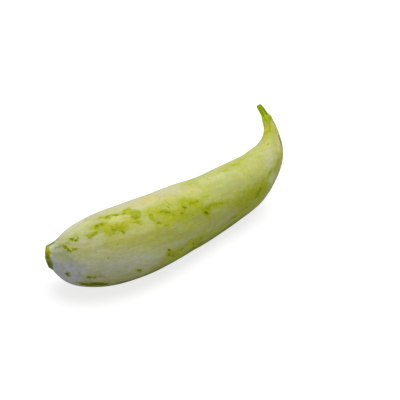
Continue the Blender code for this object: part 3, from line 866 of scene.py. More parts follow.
# %% Washes of single places
WASHES = {
    "pale_green": ((0.57, 0.585, 0.31), [
        (86, 12, 102, 8, 4.5, 0.5), (212, 42, 214, 36, 4.0, 0.5), (194, 14, 200, 10, 4.0, 0.5),
        (136, 96, 158, 88, 5.0, 0.5), (144, 8, 158, 4, 4.0, 0.35), (78, 14, 84, 10, 4.0, 0.3),
        (112, 6, 140, 4, 5.0, 0.3), (24, 14, 62, 8, 12.0, 1.0), (28, 34, 50, 34, 7.0, 0.8),
        (62, 12, 74, 10, 8.0, 0.6), (8, 110, 20, 112, 10.0, 0.9), (10, 200, 60, 220, 16.0, 0.7),
        (190, 5, 205, 8, 4.0, 0.4), (24, 96, 34, 100, 4.0, 0.6),
    ]),
    "beige": ((0.50, 0.48, 0.28), [
        (50, 40, 56, 36, 4.0, 0.35), (52, 10, 58, 4, 4.0, 0.4), (27, 62, 34, 58, 4.0, 0.5),
        (22, 118, 62, 118, 10.0, 0.9), (62, 112, 108, 104, 8.0, 0.95), (100, 122, 120, 122, 6.0, 0.8),
        (36, 12, 48, 6, 5.0, 0.35), (110, 98, 190, 78, 7.0, 0.3), (21, 66, 33, 61, 2.4, 0.9),
        (69, 92, 78, 93, 4.0, 0.6), (50, 82, 56, 82, 3.0, 0.5), (43, 77, 46, 78, 1.6, 0.5),
    ]),
    "ochre": ((0.46, 0.44, 0.09), [
        (42, 48, 60, 42, 5.0, 0.75), (220, 88, 224, 90, 3.0, 0.85), (93, 96, 100, 94, 3.0, 0.5),
        (181, 100, 181, 88, 2.5, 0.4), (60, 48, 76, 44, 4.0, 0.25),
    ]),
    # Whitish skin at the flower end; its faint blue is painted shade
    "wan_with_painted_blue_shade": ((0.58, 0.595, 0.63), [
        (22, 26, 36, 14, 5.0, 0.35), (4, 32, 15, 22, 7.0, 1.0), (3, -10, 14, -24, 9.0, 0.9),
        (18, -2, 22, -8, 3.5, 0.6), (20, 22, 23, 14, 2.5, 0.4), (6, 240, 20, 260, 12.0, 0.7),
        (36, 4, 48, 2, 5.0, 0.4), (30, -6, 34, -8, 3.0, 0.4),
    ]),
    "grey_green": ((0.37, 0.41, 0.22), [
        (8, 60, 14, 54, 3.5, 0.8), (14, 44, 18, 40, 3.0, 0.5), (68, 76, 71, 62, 2.2, 0.75),
        (46, -8, 52, -12, 4.0, 0.4), (18, 30, 22, 26, 3.0, 0.45), (98, 20, 104, 16, 4.5, 0.6),
        (140, 66, 166, 58, 6.0, 0.45), (36, 62, 39, 64, 2.0, 0.4), (34, 52, 40, 48, 3.0, 0.4),
        (138, 20, 138, 17, 2.0, 0.4), (146, 48, 150, 44, 4.0, 0.3),
    ]),
    # Chalky pale skin, with painted highlights on the ridges round the flower scar
    "chalk_and_painted_highlight": ((0.60, 0.62, 0.44), [
        (40, 12, 62, 8, 6.5, 0.75), (3, 88, 9, 80, 2.0, 0.8), (3, 98, 8, 92, 2.0, 0.6),
        (5, 70, 9, 67, 1.0, 0.8), (8, 118, 16, 122, 4.0, 0.5), (14, 110, 30, 116, 3.5, 0.8),
        (4, 77, 9, 70, 1.8, 0.9), (9, 69, 12, 64, 1.2, 0.6), (12, 104, 22, 108, 1.6, 0.5),
        (16, 96, 24, 98, 1.2, 0.4), (28, 48, 44, 46, 1.6, 0.3), (12, 82, 15, 80, 1.2, 0.4),
    ]),
    "sun": ((0.56, 0.46, 0.10), [
        (82, 105, 87, 106, 3.0, 0.8), (90, 108, 92, 108, 2.0, 0.3), (227, 30, 231, 24, 2.4, 0.35),
    ]),
    "pale": ((0.47, 0.465, 0.24), [
        (218, 64, 204, 44, 6.0, 0.85), (233, 60, 235, 46, 2.5, 0.3), (118, 52, 124, 48, 2.5, 0.5),
        (143, 8, 143, 2, 2.0, 0.5),
    ]),
    "neck_yellow": ((0.58, 0.61, 0.06), [
        (249, 100, 240, 96, 2.4, 1.0), (240, 96, 230, 92, 3.2, 0.5), (248, 150, 232, 148, 3.0, 0.7),
        (248, 40, 238, 36, 1.8, 0.35), (246, 114, 236, 112, 2.4, 0.7), (219, 84, 225, 92, 3.4, 0.3),
    ]),
    # Light stripes of the neck, brightened as painted light on its shaded side
    "neck_stripes_painted_light": ((0.74, 0.80, 0.05), [
        (250, 128, 240, 128, 2.0, 0.85), (248, 103, 240, 103, 1.4, 0.8),
    ]),
    "neck_olive": ((0.33, 0.36, 0.015), [
        (250, 44, 245.5, 58, 0.7, 1.0), (251, -8, 236, -8, 0.9, 0.7), (252, 196, 236, 192, 1.2, 0.8),
        (252, 262, 234, 268, 1.1, 0.8), (252, 30, 246, 26, 0.8, 0.6),
    ]),
    # A greener belly, darkened as painted shade along the lower edge
    "belly_green_painted_shade": ((0.21, 0.245, 0.02), [
        (100, -12, 112, -18, 4.0, 0.5), (46, -40, 104, -38, 8.0, 0.95), (104, -36, 160, -34, 8.0, 0.95),
        (160, -36, 206, -32, 5.0, 0.5),
    ]),
    "warm": ((0.53, 0.48, 0.19), [
        (57, 84, 60, 82, 2.5, 0.3), (46, 56, 54, 52, 3.0, 0.4), (46, 100, 62, 98, 4.0, 0.35),
        (104, 92, 122, 84, 4.0, 0.35), (84, 95, 96, 88, 4.0, 0.75), (70, 98, 84, 97, 4.0, 0.6),
        (96, 88, 106, 82, 3.0, 0.4), (118, 86, 126, 80, 4.0, 0.6), (232, 34, 222, 30, 2.6, 0.5),
        (182, 80, 200, 58, 5.0, 0.4), (92, 38, 93, 36, 2.5, 0.4), (223, 28, 236, 8, 3.0, 0.45),
        (62, 96, 64, 94, 2.0, 0.3),
    ]),
    "olive_shade": ((0.325, 0.345, 0.095), [
        (74, 40, 98, 32, 6.0, 0.7), (95, 28, 104, 26, 5.0, 0.4), (64, 44, 76, 40, 3.0, 0.4),
        (92, 44, 118, 36, 6.0, 0.8), (78, 55, 94, 50, 4.5, 0.6), (60, 58, 76, 52, 4.0, 0.25),
        (80, 58, 102, 38, 6.0, 0.42),
    ]),
    "soft_yellow": ((0.49, 0.50, 0.13), [
        (112, 78, 120, 72, 4.0, 0.7), (44, 76, 56, 74, 3.5, 0.8), (38, 90, 46, 88, 3.0, 0.4),
        (47, 86, 56, 82, 2.5, 0.6), (56, 60, 70, 52, 4.0, 0.3), (62, 50, 72, 46, 4.0, 0.35),
    ]),
    "straw": ((0.43, 0.44, 0.07), [
        (58, 26, 66, 20, 4.0, 0.25), (72, 24, 80, 16, 4.0, 0.35), (68, 12, 80, 4, 4.0, 0.3),
        (30, 62, 50, 60, 5.0, 0.3), (40, 44, 66, 36, 7.0, 0.5), (70, 36, 100, 26, 7.0, 0.5),
        (100, 30, 116, 22, 6.0, 0.4), (66, 60, 84, 52, 5.0, 0.4), (56, 70, 66, 62, 4.0, 0.5),
    ]),
    "low_lime": ((0.44, 0.51, 0.004), [
        (76, -14, 96, -20, 4.0, 0.6), (116, -6, 128, -16, 4.0, 0.5), (128, -12, 160, -20, 4.0, 0.5),
        (79, 2, 84, -8, 3.8, 1.0), (82, -2, 90, -10, 4.0, 0.5), (88, 0, 92, -6, 2.4, 0.8),
        (98, 0, 108, -12, 4.6, 0.9), (102, -6, 110, -16, 4.0, 0.5), (106, 4, 114, -6, 3.2, 0.8),
        (176, 20, 186, 14, 4.5, 0.6), (54, -4, 59, -10, 2.0, 0.4), (156, -2, 178, 2, 6.0, 0.6),
        (178, 4, 192, 8, 5.0, 0.6),
    ]),
    "light_lime": ((0.53, 0.57, 0.12), [
        (21, 82, 21.6, 80, 0.9, 0.9), (23, 78.5, 23.4, 77.5, 0.8, 0.8), (21, 77, 21.4, 76, 0.7, 0.6),
        (19, 76, 19.4, 73, 0.9, 0.5), (18.6, 62, 21, 58, 1.4, 0.8), (43, 92, 57, 86, 1.8, 0.6),
        (44, 99, 60, 93, 1.6, 0.5), (91.8, 80, 92, 78, 0.8, 0.8), (95, 79, 95.2, 77, 0.8, 0.8),
        (94.6, 82, 95, 86, 0.8, 0.6), (78.4, 50.5, 79, 49.5, 0.9, 0.9), (77, 51, 77.3, 50, 0.8, 0.7),
        (76, 75, 77, 75, 0.8, 0.5), (69.6, 80, 70, 79, 0.8, 0.5), (64, 81.5, 67, 81, 0.7, 0.5),
        (62, 69.5, 65, 69, 0.7, 0.6),
    ]),
    # Painted shade: grey lines in the folds round the flower scar and in a few creases on the body
    "fold_painted_shade": ((0.24, 0.27, 0.17), [
        (7, 80, 12.5, 74, 0.9, 0.75), (7, 92, 14, 80, 0.9, 0.35), (4, 60, 8, 56, 0.7, 0.3),
        (5, 150, 11, 148, 0.8, 0.6), (5, 250, 12, 246, 0.8, 0.6), (58, 9, 58.5, 6, 0.7, 0.35),
        (143, 94, 143.5, 92, 0.7, 0.7), (142, 57, 144, 55, 1.0, 0.4), (20, 14, 21, 4, 1.2, 0.45),
    ]),
    "scratch": ((0.12, 0.11, 0.012), [
        (234, 15, 231, 9, 0.8, 0.95), (231, 9, 227.5, -2, 1.3, 1.0), (227.5, -2, 225, -12, 0.8, 0.8),
        (64, 205, 71, 209, 0.7, 0.8),
    ]),
}
for name, (_, strokes) in WASHES.items():
    store(fruit_skin, name, painted(strokes))
print("washes:", ", ".join(WASHES))

# %% [markdown]
# At the flower scar the green follows the form itself. The rim is green all round: lime on top as painted
# light, dark green below as painted shade, and ragged where it meets the skin. Inside it the tissue has
# dried, with a browner stub in the middle. Strokes would have to be laid round the rim one by one, so here
# the distance and the angle alone say what is green and what is dry.

# %% Green rim and dry middle of the scar
RIM_REACH = 2.4
RIM_FADES = (-1.0, 0.8)
RIM_INNER_EDGE = (-5.4, -2.6)
# Bumps of the rim's edge: height in mm, how many round the scar, start
RIM_BUMPS = [(0.6, 5, 0.6), (0.4, 11, 2.0), (0.3, 3, 0.0)]
BUMPS_WHERE_FADING = 0.8
BUMPS_INSIDE = 0.3
RIM_LOWER_REACH = 1.6
RIM_LOWER_ANGLE = math.radians(30.0)
RIM_LOWER_WIDTH = 0.6
RIM_SHADE = 1.1
RIM_SHADE_BELOW = 0.85
RIM_SHADE_TURN = 0.1
RIM_SPOTS = 7
RIM_SPOT_SHADE = 0.25
RIM_DRY_STARTS = (-5.6, -4.4)
RIM_DRY_ENDS = (-4.0, -2.4)
DRIED_EDGE = (-5.0, -2.5)
STUB_BROWN_EDGE = (-8.4, -6.6)


def rim_green():
    """Full over the edge of the dome, ragged towards the skin."""
    bumps = sum(height * np.sin(count * place_angle + start) for height, count, start in RIM_BUMPS)
    away = (place_angle - RIM_LOWER_ANGLE + math.pi) % math.tau - math.pi
    reach = RIM_REACH + RIM_LOWER_REACH * bell(away, 0.0, RIM_LOWER_WIDTH)
    fades_from = reach + RIM_FADES[0] + BUMPS_WHERE_FADING * bumps
    fades_to = reach + RIM_FADES[1] + bumps
    inner = [edge + BUMPS_INSIDE * bumps for edge in RIM_INNER_EDGE]
    return (1 - ease(fades_from, fades_to, place_along)) * ease(*inner, place_along)


def rim_shade():
    """Where the rim gets the darker green: painted shade below, and darker spots in a few places."""
    below = -RIM_SHADE_BELOW * np.sin(place_angle - RIM_SHADE_TURN)
    return RIM_SHADE + below + RIM_SPOT_SHADE * np.sin(RIM_SPOTS * place_angle + 1.0)


rim_inner = ease(*RIM_DRY_STARTS, place_along) * (1 - ease(*RIM_DRY_ENDS, place_along))
store(fruit_skin, "rim_green", rim_green())
# Painted shade on the rim's lower side
store(fruit_skin, "rim_shade", rim_shade())
store(fruit_skin, "rim_inner", rim_inner)
store(fruit_skin, "scar_centre", 1 - ease(*DRIED_EDGE, place_along))
store(fruit_skin, "stub", 1 - ease(*STUB_BROWN_EDGE, place_along))
print("rim of the scar is green to", RIM_REACH, "mm")

# %% [markdown]
# The last few millimetres of the neck are as green as the stalk, and the green runs further down on the
# ribs than between them. One side is painted brighter, as painted light. Both follow the form as well, so
# they come from the distance and the angle.

# %% Green end of the neck
COLLAR_GREEN_REACH = 2.7
COLLAR_GREEN_LOPSIDED = 0.2
COLLAR_GREEN_ON_RIBS = 0.5
COLLAR_GREEN_EDGE = (-2.2, 1.8)
# The side of the neck's end that gets painted light
COLLAR_PAINTED_LIGHT_SIDE = math.radians(134.0)


def collar_green():
    reach = COLLAR_GREEN_REACH + COLLAR_GREEN_LOPSIDED * np.cos(place_angle - COLLAR_PAINTED_LIGHT_SIDE)
    reach = reach + COLLAR_GREEN_ON_RIBS * np.cos(RIBS * place_angle)
    edge = [NECK_END - reach + part for part in COLLAR_GREEN_EDGE]
    return ease(*edge, place_along)


store(fruit_skin, "collar_green", collar_green())
# Painted light on one side of the neck's end
store(fruit_skin, "collar_painted_light", towards(place_angle, COLLAR_PAINTED_LIGHT_SIDE))
print("end of the neck is green for about", COLLAR_GREEN_REACH, "mm")

# %% [markdown]
# ## The skin's finish
#
# A finish in Blender is a graph of nodes. It could be put together by hand in the shader
# editor, but a graph this size is easier to read as code. These helpers keep it short: each
# adds one node and returns the output that the next one needs. `noise` takes its size in
# millimetres, and can be stretched along the fruit.

# %% Helpers for node graphs
def feed(tree, socket, value):
    """Links an output to a socket, or sets the socket's own value."""
    if isinstance(value, bpy.types.NodeSocket):
        tree.links.new(value, socket)
    else:
        socket.default_value = value


def fill(tree, node, **inputs):
    """Feeds a node. An input is named by its socket, and is a value or an output to link."""
    for name, value in inputs.items():
        feed(tree, node.inputs[name.replace("_", " ")], value)


def new_node(tree, kind, **inputs):
    """One shader node, with its inputs fed."""
    node = tree.nodes.new("ShaderNode" + kind)
    fill(tree, node, **inputs)
    return node


def attribute(tree, name, output="Fac"):
    """What the mesh keeps under this name: a number, or a place as Vector."""
    node = tree.nodes.new("ShaderNodeAttribute")
    node.attribute_name = name
    return node.outputs[output]


def straight_place(tree, stretch=1.0, offset=0.0):
    """The straightened place, squeezed along the fruit so that noise on it looks stretched."""
    place = attribute(tree, "straight", "Vector")
    squeeze = (1.0 / stretch, 1.0, 1.0)
    move = (offset, offset, offset)
    return new_node(tree, "Mapping", Vector=place, Scale=squeeze, Location=move).outputs["Vector"]


def noise(tree, size, stretch=1.0, detail=2.0, roughness=0.5, offset=0.0):
    """Smooth noise around 0.5, with features about this many mm across."""
    place = straight_place(tree, stretch, offset)
    node = new_node(tree, "TexNoise", Vector=place, Scale=1.0 / size, Detail=detail, Roughness=roughness)
    return node.outputs["Fac"]


def new_finish(name):
    """An empty finish: the material, its node tree and its shader."""
    material = bpy.data.materials.new(name)
    material.use_nodes = True
    tree = material.node_tree
    return material, tree, tree.nodes["Principled BSDF"]


node_helpers = (feed, fill, new_node, attribute, straight_place, noise, new_finish)
print("helpers:", ", ".join(helper.__name__ for helper in node_helpers))

# %% [markdown]
# Colours are laid over each other through masks. `between` turns a number into a mask that is
# 0 below one value and 1 above another, `ragged` lets noise eat into a mask's edges, and
# `paint` lays one colour on another where a mask says. A mask could be drawn straight from a
# stroke, but then every mark would keep the plain shape of its stroke.

# %% Masks and paint
def maths(tree, operation, first, second, clamp=False):
    """One sum on two numbers or outputs."""
    node = tree.nodes.new("ShaderNodeMath")
    node.operation = operation
    node.use_clamp = clamp
    feed(tree, node.inputs[0], first)
    feed(tree, node.inputs[1], second)
    return node.outputs["Value"]


def between(tree, value, low, high, start=0.0, stop=1.0):
    """start where value is below low, stop where it is above high, smooth between."""
    node = new_node(tree, "MapRange", Value=value, From_Min=low, From_Max=high, To_Min=start, To_Max=stop)
    node.interpolation_type = "SMOOTHSTEP"
    return node.outputs["Result"]


def ragged(tree, mask, size, bite, offset=0.0):
    """A mask with its edges eaten into by noise of this size, by up to this much."""
    grain = noise(tree, size, stretch=1.4, detail=3.0, roughness=0.6, offset=offset)
    return maths(tree, "ADD", mask, between(tree, grain, low=0.25, high=0.75, start=-bite, stop=bite))


def paint(tree, mask, under, over):
    """Colour over on colour under, where the mask says. A colour is three numbers or an output."""
    node = tree.nodes.new("ShaderNodeMix")
    node.data_type = "RGBA"
    sockets = {socket.identifier: socket for socket in node.inputs}
    feed(tree, sockets["Factor_Float"], mask)
    for socket, colour in ((sockets["A_Color"], under), (sockets["B_Color"], over)):
        feed(tree, socket, colour if isinstance(colour, bpy.types.NodeSocket) else (*colour, 1.0))
    return next(socket for socket in node.outputs if socket.identifier == "Result_Color")


print("helpers:", ", ".join(helper.__name__ for helper in (maths, between, ragged, paint)))

# %% [markdown]
# The skin's colour is laid on in coats, from the widest to the smallest, the way a painter
# would do it. First comes the ground: cream near the flower end and yellow-green near the
# neck. One even gradient would look sprayed on, so slow noise shifts it, and fresher green
# and soft blotches break it up.

# %% Ground colour
CREAM = (0.50, 0.505, 0.23)
YELLOW_GREEN = (0.41, 0.435, 0.105)
LIGHT_GREEN = (0.42, 0.47, 0.16)
BLOTCH_PALE = (0.54, 0.55, 0.36)
BLOTCH_YELLOW = (0.43, 0.43, 0.08)
GREENING = (30.0, 95.0)


def distance_along(tree):
    return new_node(tree, "SeparateXYZ", Vector=straight_place(tree)).outputs["X"]


def ground_colour(tree):
    """Cream at the flower end, yellow-green towards the neck, never even."""
    greening = between(tree, distance_along(tree), *GREENING)
    slow = noise(tree, 26.0, stretch=1.6, detail=3.0)
    drift = between(tree, slow, low=0.3, high=0.7, start=-0.3, stop=0.3)
    colour = paint(tree, maths(tree, "ADD", greening, drift, clamp=True), CREAM, YELLOW_GREEN)
    patches = noise(tree, 15.0, stretch=1.8, detail=2.0, offset=40.0)
    fresher = between(tree, patches, low=0.5, high=0.75, stop=0.55)
    return paint(tree, fresher, colour, LIGHT_GREEN)


def blotches(tree, colour):
    """Soft pale and yellowish blotches, a few millimetres wide."""
    pale = noise(tree, 7.0, stretch=1.2, detail=3.0, offset=71.0)
    yellow = noise(tree, 8.0, stretch=1.2, detail=3.0, offset=83.0)
    colour = paint(tree, between(tree, pale, low=0.52, high=0.7, stop=0.2), colour, BLOTCH_PALE)
    return paint(tree, between(tree, yellow, low=0.52, high=0.7, stop=0.3), colour, BLOTCH_YELLOW)


print("ground turns from cream to yellow-green between", *GREENING, "mm")

# %% [markdown]
# On the ground come the washes and the blotches, then the clouds, the flecks and the cores,
# each through its own mask. The strokes only say where a mark is, and noise makes its edge:
# fine noise for what is small and sharp, wide noise for what is soft. Where a cloud is
# strong, small dapples of fleck colour show in it too. A few tiny dots lie over the whole
# fruit: each is where the nearest of many scattered points is very close, which a Voronoi
# texture can tell.

# %% Marks on the skin
CLOUD_GREEN = (0.38, 0.395, 0.02)
CLOUD_FRESH = (0.35, 0.385, 0.015)
CLOUDS_FRESHEN = (70.0, 105.0)
FLECK_GREEN = (0.29, 0.33, 0.002)
CORE_GREEN = (0.135, 0.172, 0.001)
SPECK_GREEN = (0.26, 0.28, 0.10)
SPECK_SPACING = 13.0
SHARP_WASHES = ("fold_painted_shade", "scratch", "neck_olive", "light_lime")


def washes(tree, colour):
    """Every wash, in the order of the list, over the ground."""
    for name, (wash_colour, _) in WASHES.items():
        size = 1.3 if name in SHARP_WASHES else 6.0
        bite = 0.3 if name == "scratch" else 0.1
        mask = ragged(tree, attribute(tree, name), size, bite)
        colour = paint(tree, between(tree, mask, low=0.08, high=1.0), colour, wash_colour)
    return colour


def green_marks(tree, colour):
    """Clouds, flecks and cores."""
    clouds = ragged(tree, attribute(tree, "clouds"), size=4.0, bite=0.2)
    fresh = between(tree, distance_along(tree), *CLOUDS_FRESHEN)
    cloud_colour = paint(tree, fresh, CLOUD_GREEN, CLOUD_FRESH)
    colour = paint(tree, between(tree, clouds, low=0.12, high=0.95), colour, cloud_colour)
    spots = noise(tree, 2.0, stretch=1.3, detail=2.5, offset=17.0)
    dapple = between(tree, spots, low=0.5, high=0.64, stop=0.5)
    flecks = maths(tree, "ADD", attribute(tree, "flecks"), maths(tree, "MULTIPLY", clouds, dapple))
    flecks = ragged(tree, flecks, size=1.2, bite=0.45)
    colour = paint(tree, between(tree, flecks, low=0.32, high=0.8), colour, FLECK_GREEN)
    cores = ragged(tree, attribute(tree, "cores"), size=1.7, bite=0.25, offset=31.0)
    return paint(tree, between(tree, cores, low=0.3, high=0.9), colour, CORE_GREEN)


def specks(tree, colour):
    """Tiny dark dots, far apart."""
    place = straight_place(tree)
    node = new_node(tree, "TexVoronoi", Vector=place, Scale=1.0 / SPECK_SPACING, Randomness=1.0)
    dot = between(tree, node.outputs["Distance"], low=0.03, high=0.06, start=0.8, stop=0.0)
    return paint(tree, dot, colour, SPECK_GREEN)


print("coats of wash:", len(WASHES), "of which sharp:", len(SHARP_WASHES))

# %% [markdown]
# The two ends of the fruit get their colours last, because they lie over everything else: the
# scar's green rim, dried middle and brown stub, and the green end of the neck. The scar could
# have a finish of its own, but then its edge on the skin would be a hard line.

# %% Colours of the scar and the neck's end
# Painted light on the rim's top, painted shade below it
RIM_PAINTED_LIGHT_LIME = (0.37, 0.40, 0.002)
RIM_PAINTED_SHADE_GREEN = (0.125, 0.18, 0.001)
RIM_DRY = (0.22, 0.20, 0.04)
RIM_DRY_STRENGTH = 0.75
DRIED = (0.50, 0.47, 0.27)
DRIED_DARK = (0.33, 0.29, 0.13)
STUB_BROWN = (0.24, 0.19, 0.08)
COLLAR_LIME = (0.27, 0.34, 0.003)
# Painted light on one side of the neck's end
COLLAR_PAINTED_LIGHT = (0.56, 0.70, 0.006)


def faded(tree, name, strength):
    """A mask that the mesh keeps, at less than its full strength."""
    return maths(tree, "MULTIPLY", attribute(tree, name), strength)


def scar_colours(tree, colour):
    """The scar's green rim, with painted light on top and painted shade below, and its dried middle."""
    streaks = noise(tree, 1.0, detail=3.0, offset=51.0)
    dried = paint(tree, between(tree, streaks, low=0.42, high=0.62, stop=0.7), DRIED, DRIED_DARK)
    dried = paint(tree, attribute(tree, "stub"), dried, STUB_BROWN)
    colour = paint(tree, attribute(tree, "scar_centre"), colour, dried)
    shade = ragged(tree, attribute(tree, "rim_shade"), size=1.5, bite=0.4)
    green = paint(tree, between(tree, shade, low=0.1, high=1.2), RIM_PAINTED_LIGHT_LIME, RIM_PAINTED_SHADE_GREEN)
    green = paint(tree, faded(tree, "rim_inner", RIM_DRY_STRENGTH), green, RIM_DRY)
    rim = ragged(tree, attribute(tree, "rim_green"), size=1.6, bite=0.35)
    return paint(tree, between(tree, rim, low=0.2, high=0.85), colour, green)


def collar_colours(tree, colour):
    """Green of the neck's end, with painted light on one side."""
    green = paint(tree, attribute(tree, "collar_painted_light"), COLLAR_LIME, COLLAR_PAINTED_LIGHT)
    streaks = noise(tree, 1.3, stretch=7.0, detail=2.0, offset=61.0)
    shift = between(tree, streaks, low=0.3, high=0.7, start=-0.35, stop=0.35)
    mask = maths(tree, "ADD", attribute(tree, "collar_green"), shift)
    return paint(tree, between(tree, mask, low=0.1, high=0.95), colour, green)


# How much brighter the painted light makes one side of the neck's end
painted_light_gain = COLLAR_PAINTED_LIGHT[1] / COLLAR_LIME[1]
print("sunny side of the neck's end:", round(painted_light_gain, 1), "times as bright as the other")

# %% [markdown]
# Fine grain comes last. Faint lines run lengthwise through the colour, and a finer mottle
# breaks up every plain area. Pores and small dimples tilt the surface a little: at a tenth of
# a millimetre that would take millions of points in the mesh, and a bump looks the same. The
# skin's wax makes it satin, with soft, faintly yellow highlights. A little light sinks into
# the flesh under it and comes back yellowish, which the shader calls subsurface. Numbers that
# are the same all over are set on the shader's own sockets.

# %% Finish of the skin
WAX_GLOSS = 0.12
WAX_TINT = (1.0, 1.0, 0.45, 1.0)
PORE_HEIGHT = 0.12
DIMPLE_HEIGHT = 1.0
LINE_BUMP_HEIGHT = 0.3


def grain(tree, colour):
    """Lengthwise lines and mottle, as a slight darkening or lightening of the colour."""
    lines = noise(tree, 2.2, stretch=14.0, detail=3.0, offset=11.0)
    mottle = noise(tree, 3.2, stretch=1.2, detail=4.0, roughness=0.65, offset=5.0)
    lines = between(tree, lines, low=0.3, high=0.7, start=0.98, stop=1.02)
    mottle = between(tree, mottle, low=0.3, high=0.7, start=0.94, stop=1.06)
    node = tree.nodes.new("ShaderNodeVectorMath")
    node.operation = "SCALE"
    feed(tree, node.inputs[0], colour)
    feed(tree, node.inputs["Scale"], maths(tree, "MULTIPLY", lines, mottle))
    return node.outputs["Vector"]


def skin_bump(tree):
    """Pores, dimples and faint lengthwise lines."""
    pores = noise(tree, 0.9, detail=2.0, offset=2.0)
    dimples = noise(tree, 5.0, stretch=1.5, detail=2.0, offset=9.0)
    lines = noise(tree, 1.8, stretch=16.0, detail=2.0, offset=13.0)
    height = maths(tree, "MULTIPLY", pores, PORE_HEIGHT)
    height = maths(tree, "ADD", height, maths(tree, "MULTIPLY", dimples, DIMPLE_HEIGHT))
    height = maths(tree, "ADD", height, maths(tree, "MULTIPLY", lines, LINE_BUMP_HEIGHT))
    return new_node(tree, "Bump", Height=height, Strength=0.6, Distance=0.6 * MM).outputs["Normal"]


def skin_finish():
    material, tree, shader = new_finish("gourd_skin_finish")
    colour = blotches(tree, washes(tree, ground_colour(tree)))
    colour = specks(tree, green_marks(tree, colour))
    colour = collar_colours(tree, scar_colours(tree, colour))
    wax = noise(tree, 6.0, stretch=2.0, detail=4.0, offset=21.0)
    rough = between(tree, wax, low=0.3, high=0.7, start=0.38, stop=0.54)
    fill(tree, shader, Base_Color=grain(tree, colour), Roughness=rough, Normal=skin_bump(tree))
    fill(tree, shader, Specular_IOR_Level=WAX_GLOSS, Specular_Tint=WAX_TINT)
    fill(tree, shader, Subsurface_Weight=0.12, Subsurface_Radius=(1.0, 0.9, 0.25), Subsurface_Scale=4 * MM)
    return material


fruit_skin.data.materials.append(skin_finish())
print("skin finish:", len(fruit_skin.data.materials[0].node_tree.nodes), "nodes")

# %% [markdown]
# ## The stalk
#
# The stub of stalk is a tough ribbed stem, cut with a knife. A plain cone would do for its
# size, but not for its look, and it goes on along the same line as the neck, so the same
# rings make it. Five ribs stand out, with finer fibres between them. The cut end has rounded
# edges and is slightly hollow, with a ring of strands round a paler pith, because fibres
# spring back a little when they are cut. Its foot starts inside the neck's collar.

# %% Form of the stalk
STALK_START = 249.9
STALK_RINGS = 70
STALK_SIDES = 120
# Half the thickness at distances along the middle line
STALK_THICKNESS = [
    (249.9, 3.3),
    (252.0, 2.95),
    (255.0, 2.75),
    (258.0, 2.6),
    (259.8, 2.45),
    (261.2, 2.15),
    (262.0, 1.65),
]
STALK_RIB_DEPTH = 0.07
FIBRES = 17
FIBRE_DEPTH = 0.018
FIBRE_SWAY = 1.2
FIBRE_SWAY_LENGTH = 2.3
KNOT_DEPTH = 0.02
KNOT_LENGTH = 1.4
STALK_SHIFT = 0.4
STALK_LEAN = 0.1
STALK_STRETCH = 1.2
stalk_thickness_at = natural_spline(*zip(*STALK_THICKNESS))


def stalk_radius(distance, angle):
    """Radius of the ribbed stalk, in mm."""
    ribs = STALK_RIB_DEPTH * np.cos(RIBS * angle)
    fibres = FIBRE_DEPTH * np.sin(FIBRES * angle + FIBRE_SWAY * np.sin(distance / FIBRE_SWAY_LENGTH))
    knots = KNOT_DEPTH * np.sin(3 * angle + distance / KNOT_LENGTH)
    return stalk_thickness_at(distance) * (1 + ribs + fibres + knots)


def stalk_shift():
    """The stalk grows out of the neck a little to the collar's side, and leans back further up."""
    side = stalk_frames[SIDE] * math.cos(COLLAR_SIDE) + stalk_frames[TOP] * math.sin(COLLAR_SIDE)
    return (STALK_SHIFT - STALK_LEAN * stalk_shares ** 2)[:, None] * side


stalk_distances = np.linspace(STALK_START, STALK_END, STALK_RINGS)
stalk_shares = (stalk_distances - STALK_START) / (STALK_END - STALK_START)
stalk_angles = np.arange(STALK_SIDES) * math.tau / STALK_SIDES
stalk_frames = ring_frames(stalk_distances, side=fruit_frames[SIDE][-1])
stalk_radii = stalk_radius(stalk_distances[:, None], stalk_angles[None, :])
print("stalk:", round(2 * float(stalk_radii[0].max()), 1), "mm across at its foot")

# %% [markdown]
# The cut is made like the neck's end: more rings inside the last one, each a little higher or
# lower than the one before. A flat disc would be easier, but a knife leaves no flat disc on a
# fibrous stem, and a rounded edge catches a thin line of light.

# %% Stalk
# Share of the cut's radius and height over it, from the edge inwards
CUT = [
    (0.97, 0.1),
    (0.9, 0.13),
    (0.8, 0.08),
    (0.7, -0.02),
    (0.6, 0.03),
    (0.48, -0.06),
    (0.34, -0.12),
    (0.18, -0.15),
]
STRANDS = 13
STRAND_HEIGHT = 0.05
STRAND_SHARE = 0.72
STRAND_WIDTH = 0.15
cut_shares, cut_rises = np.array(CUT).T


def stalk_points():
    """Rings from the foot in the collar to the middle of the cut."""
    shift = stalk_shift()
    stretch = STALK_STRETCH * stalk_shares[:, None] ** 2
    body = rings_of_points(stalk_frames, stalk_radii, stalk_angles, rise=stretch) + shift[:, None, :]
    share = cut_shares[:, None]
    strands = STRAND_HEIGHT * np.sin(STRANDS * stalk_angles) * bell(share, STRAND_SHARE, STRAND_WIDTH)
    rise = cut_rises[:, None] + strands + STALK_STRETCH
    cut_frames = copies_of_ring(stalk_frames, -1, len(cut_shares))
    cut = rings_of_points(cut_frames, stalk_radii[-1:] * share, stalk_angles, rise=rise)
    return np.concatenate([body, cut + shift[-1]])


stalk_rings = stalk_points()
stalk_skin = new_skin("stalk_skin", stalk_rings, stalk_frames[CENTRE][0], stalk_rings[-1].mean(axis=0))
print("stalk_skin:", len(stalk_skin.data.polygons), "faces")

# %% [markdown]
# The stalk's finish needs its places too: the straightened place for the fibres, the ribs, the side that
# gets painted light, the side that gets painted shade, the darker edge of the cut and the cut itself. They
# are values round the stalk or values along it, so each is stored as a row or a column that fills the whole
# grid.

# %% Places on the stalk
# Sides of the stalk that get painted light and painted shade
STALK_PAINTED_LIGHT_SIDE = math.radians(132.0)
STALK_PAINTED_SHADE_SIDE = math.radians(5.0)
EDGE_STARTS = (260.9, 261.7)
EDGE_SHARES = (0.75, 0.9)
PITH_SHARES = (0.5, 0.8)


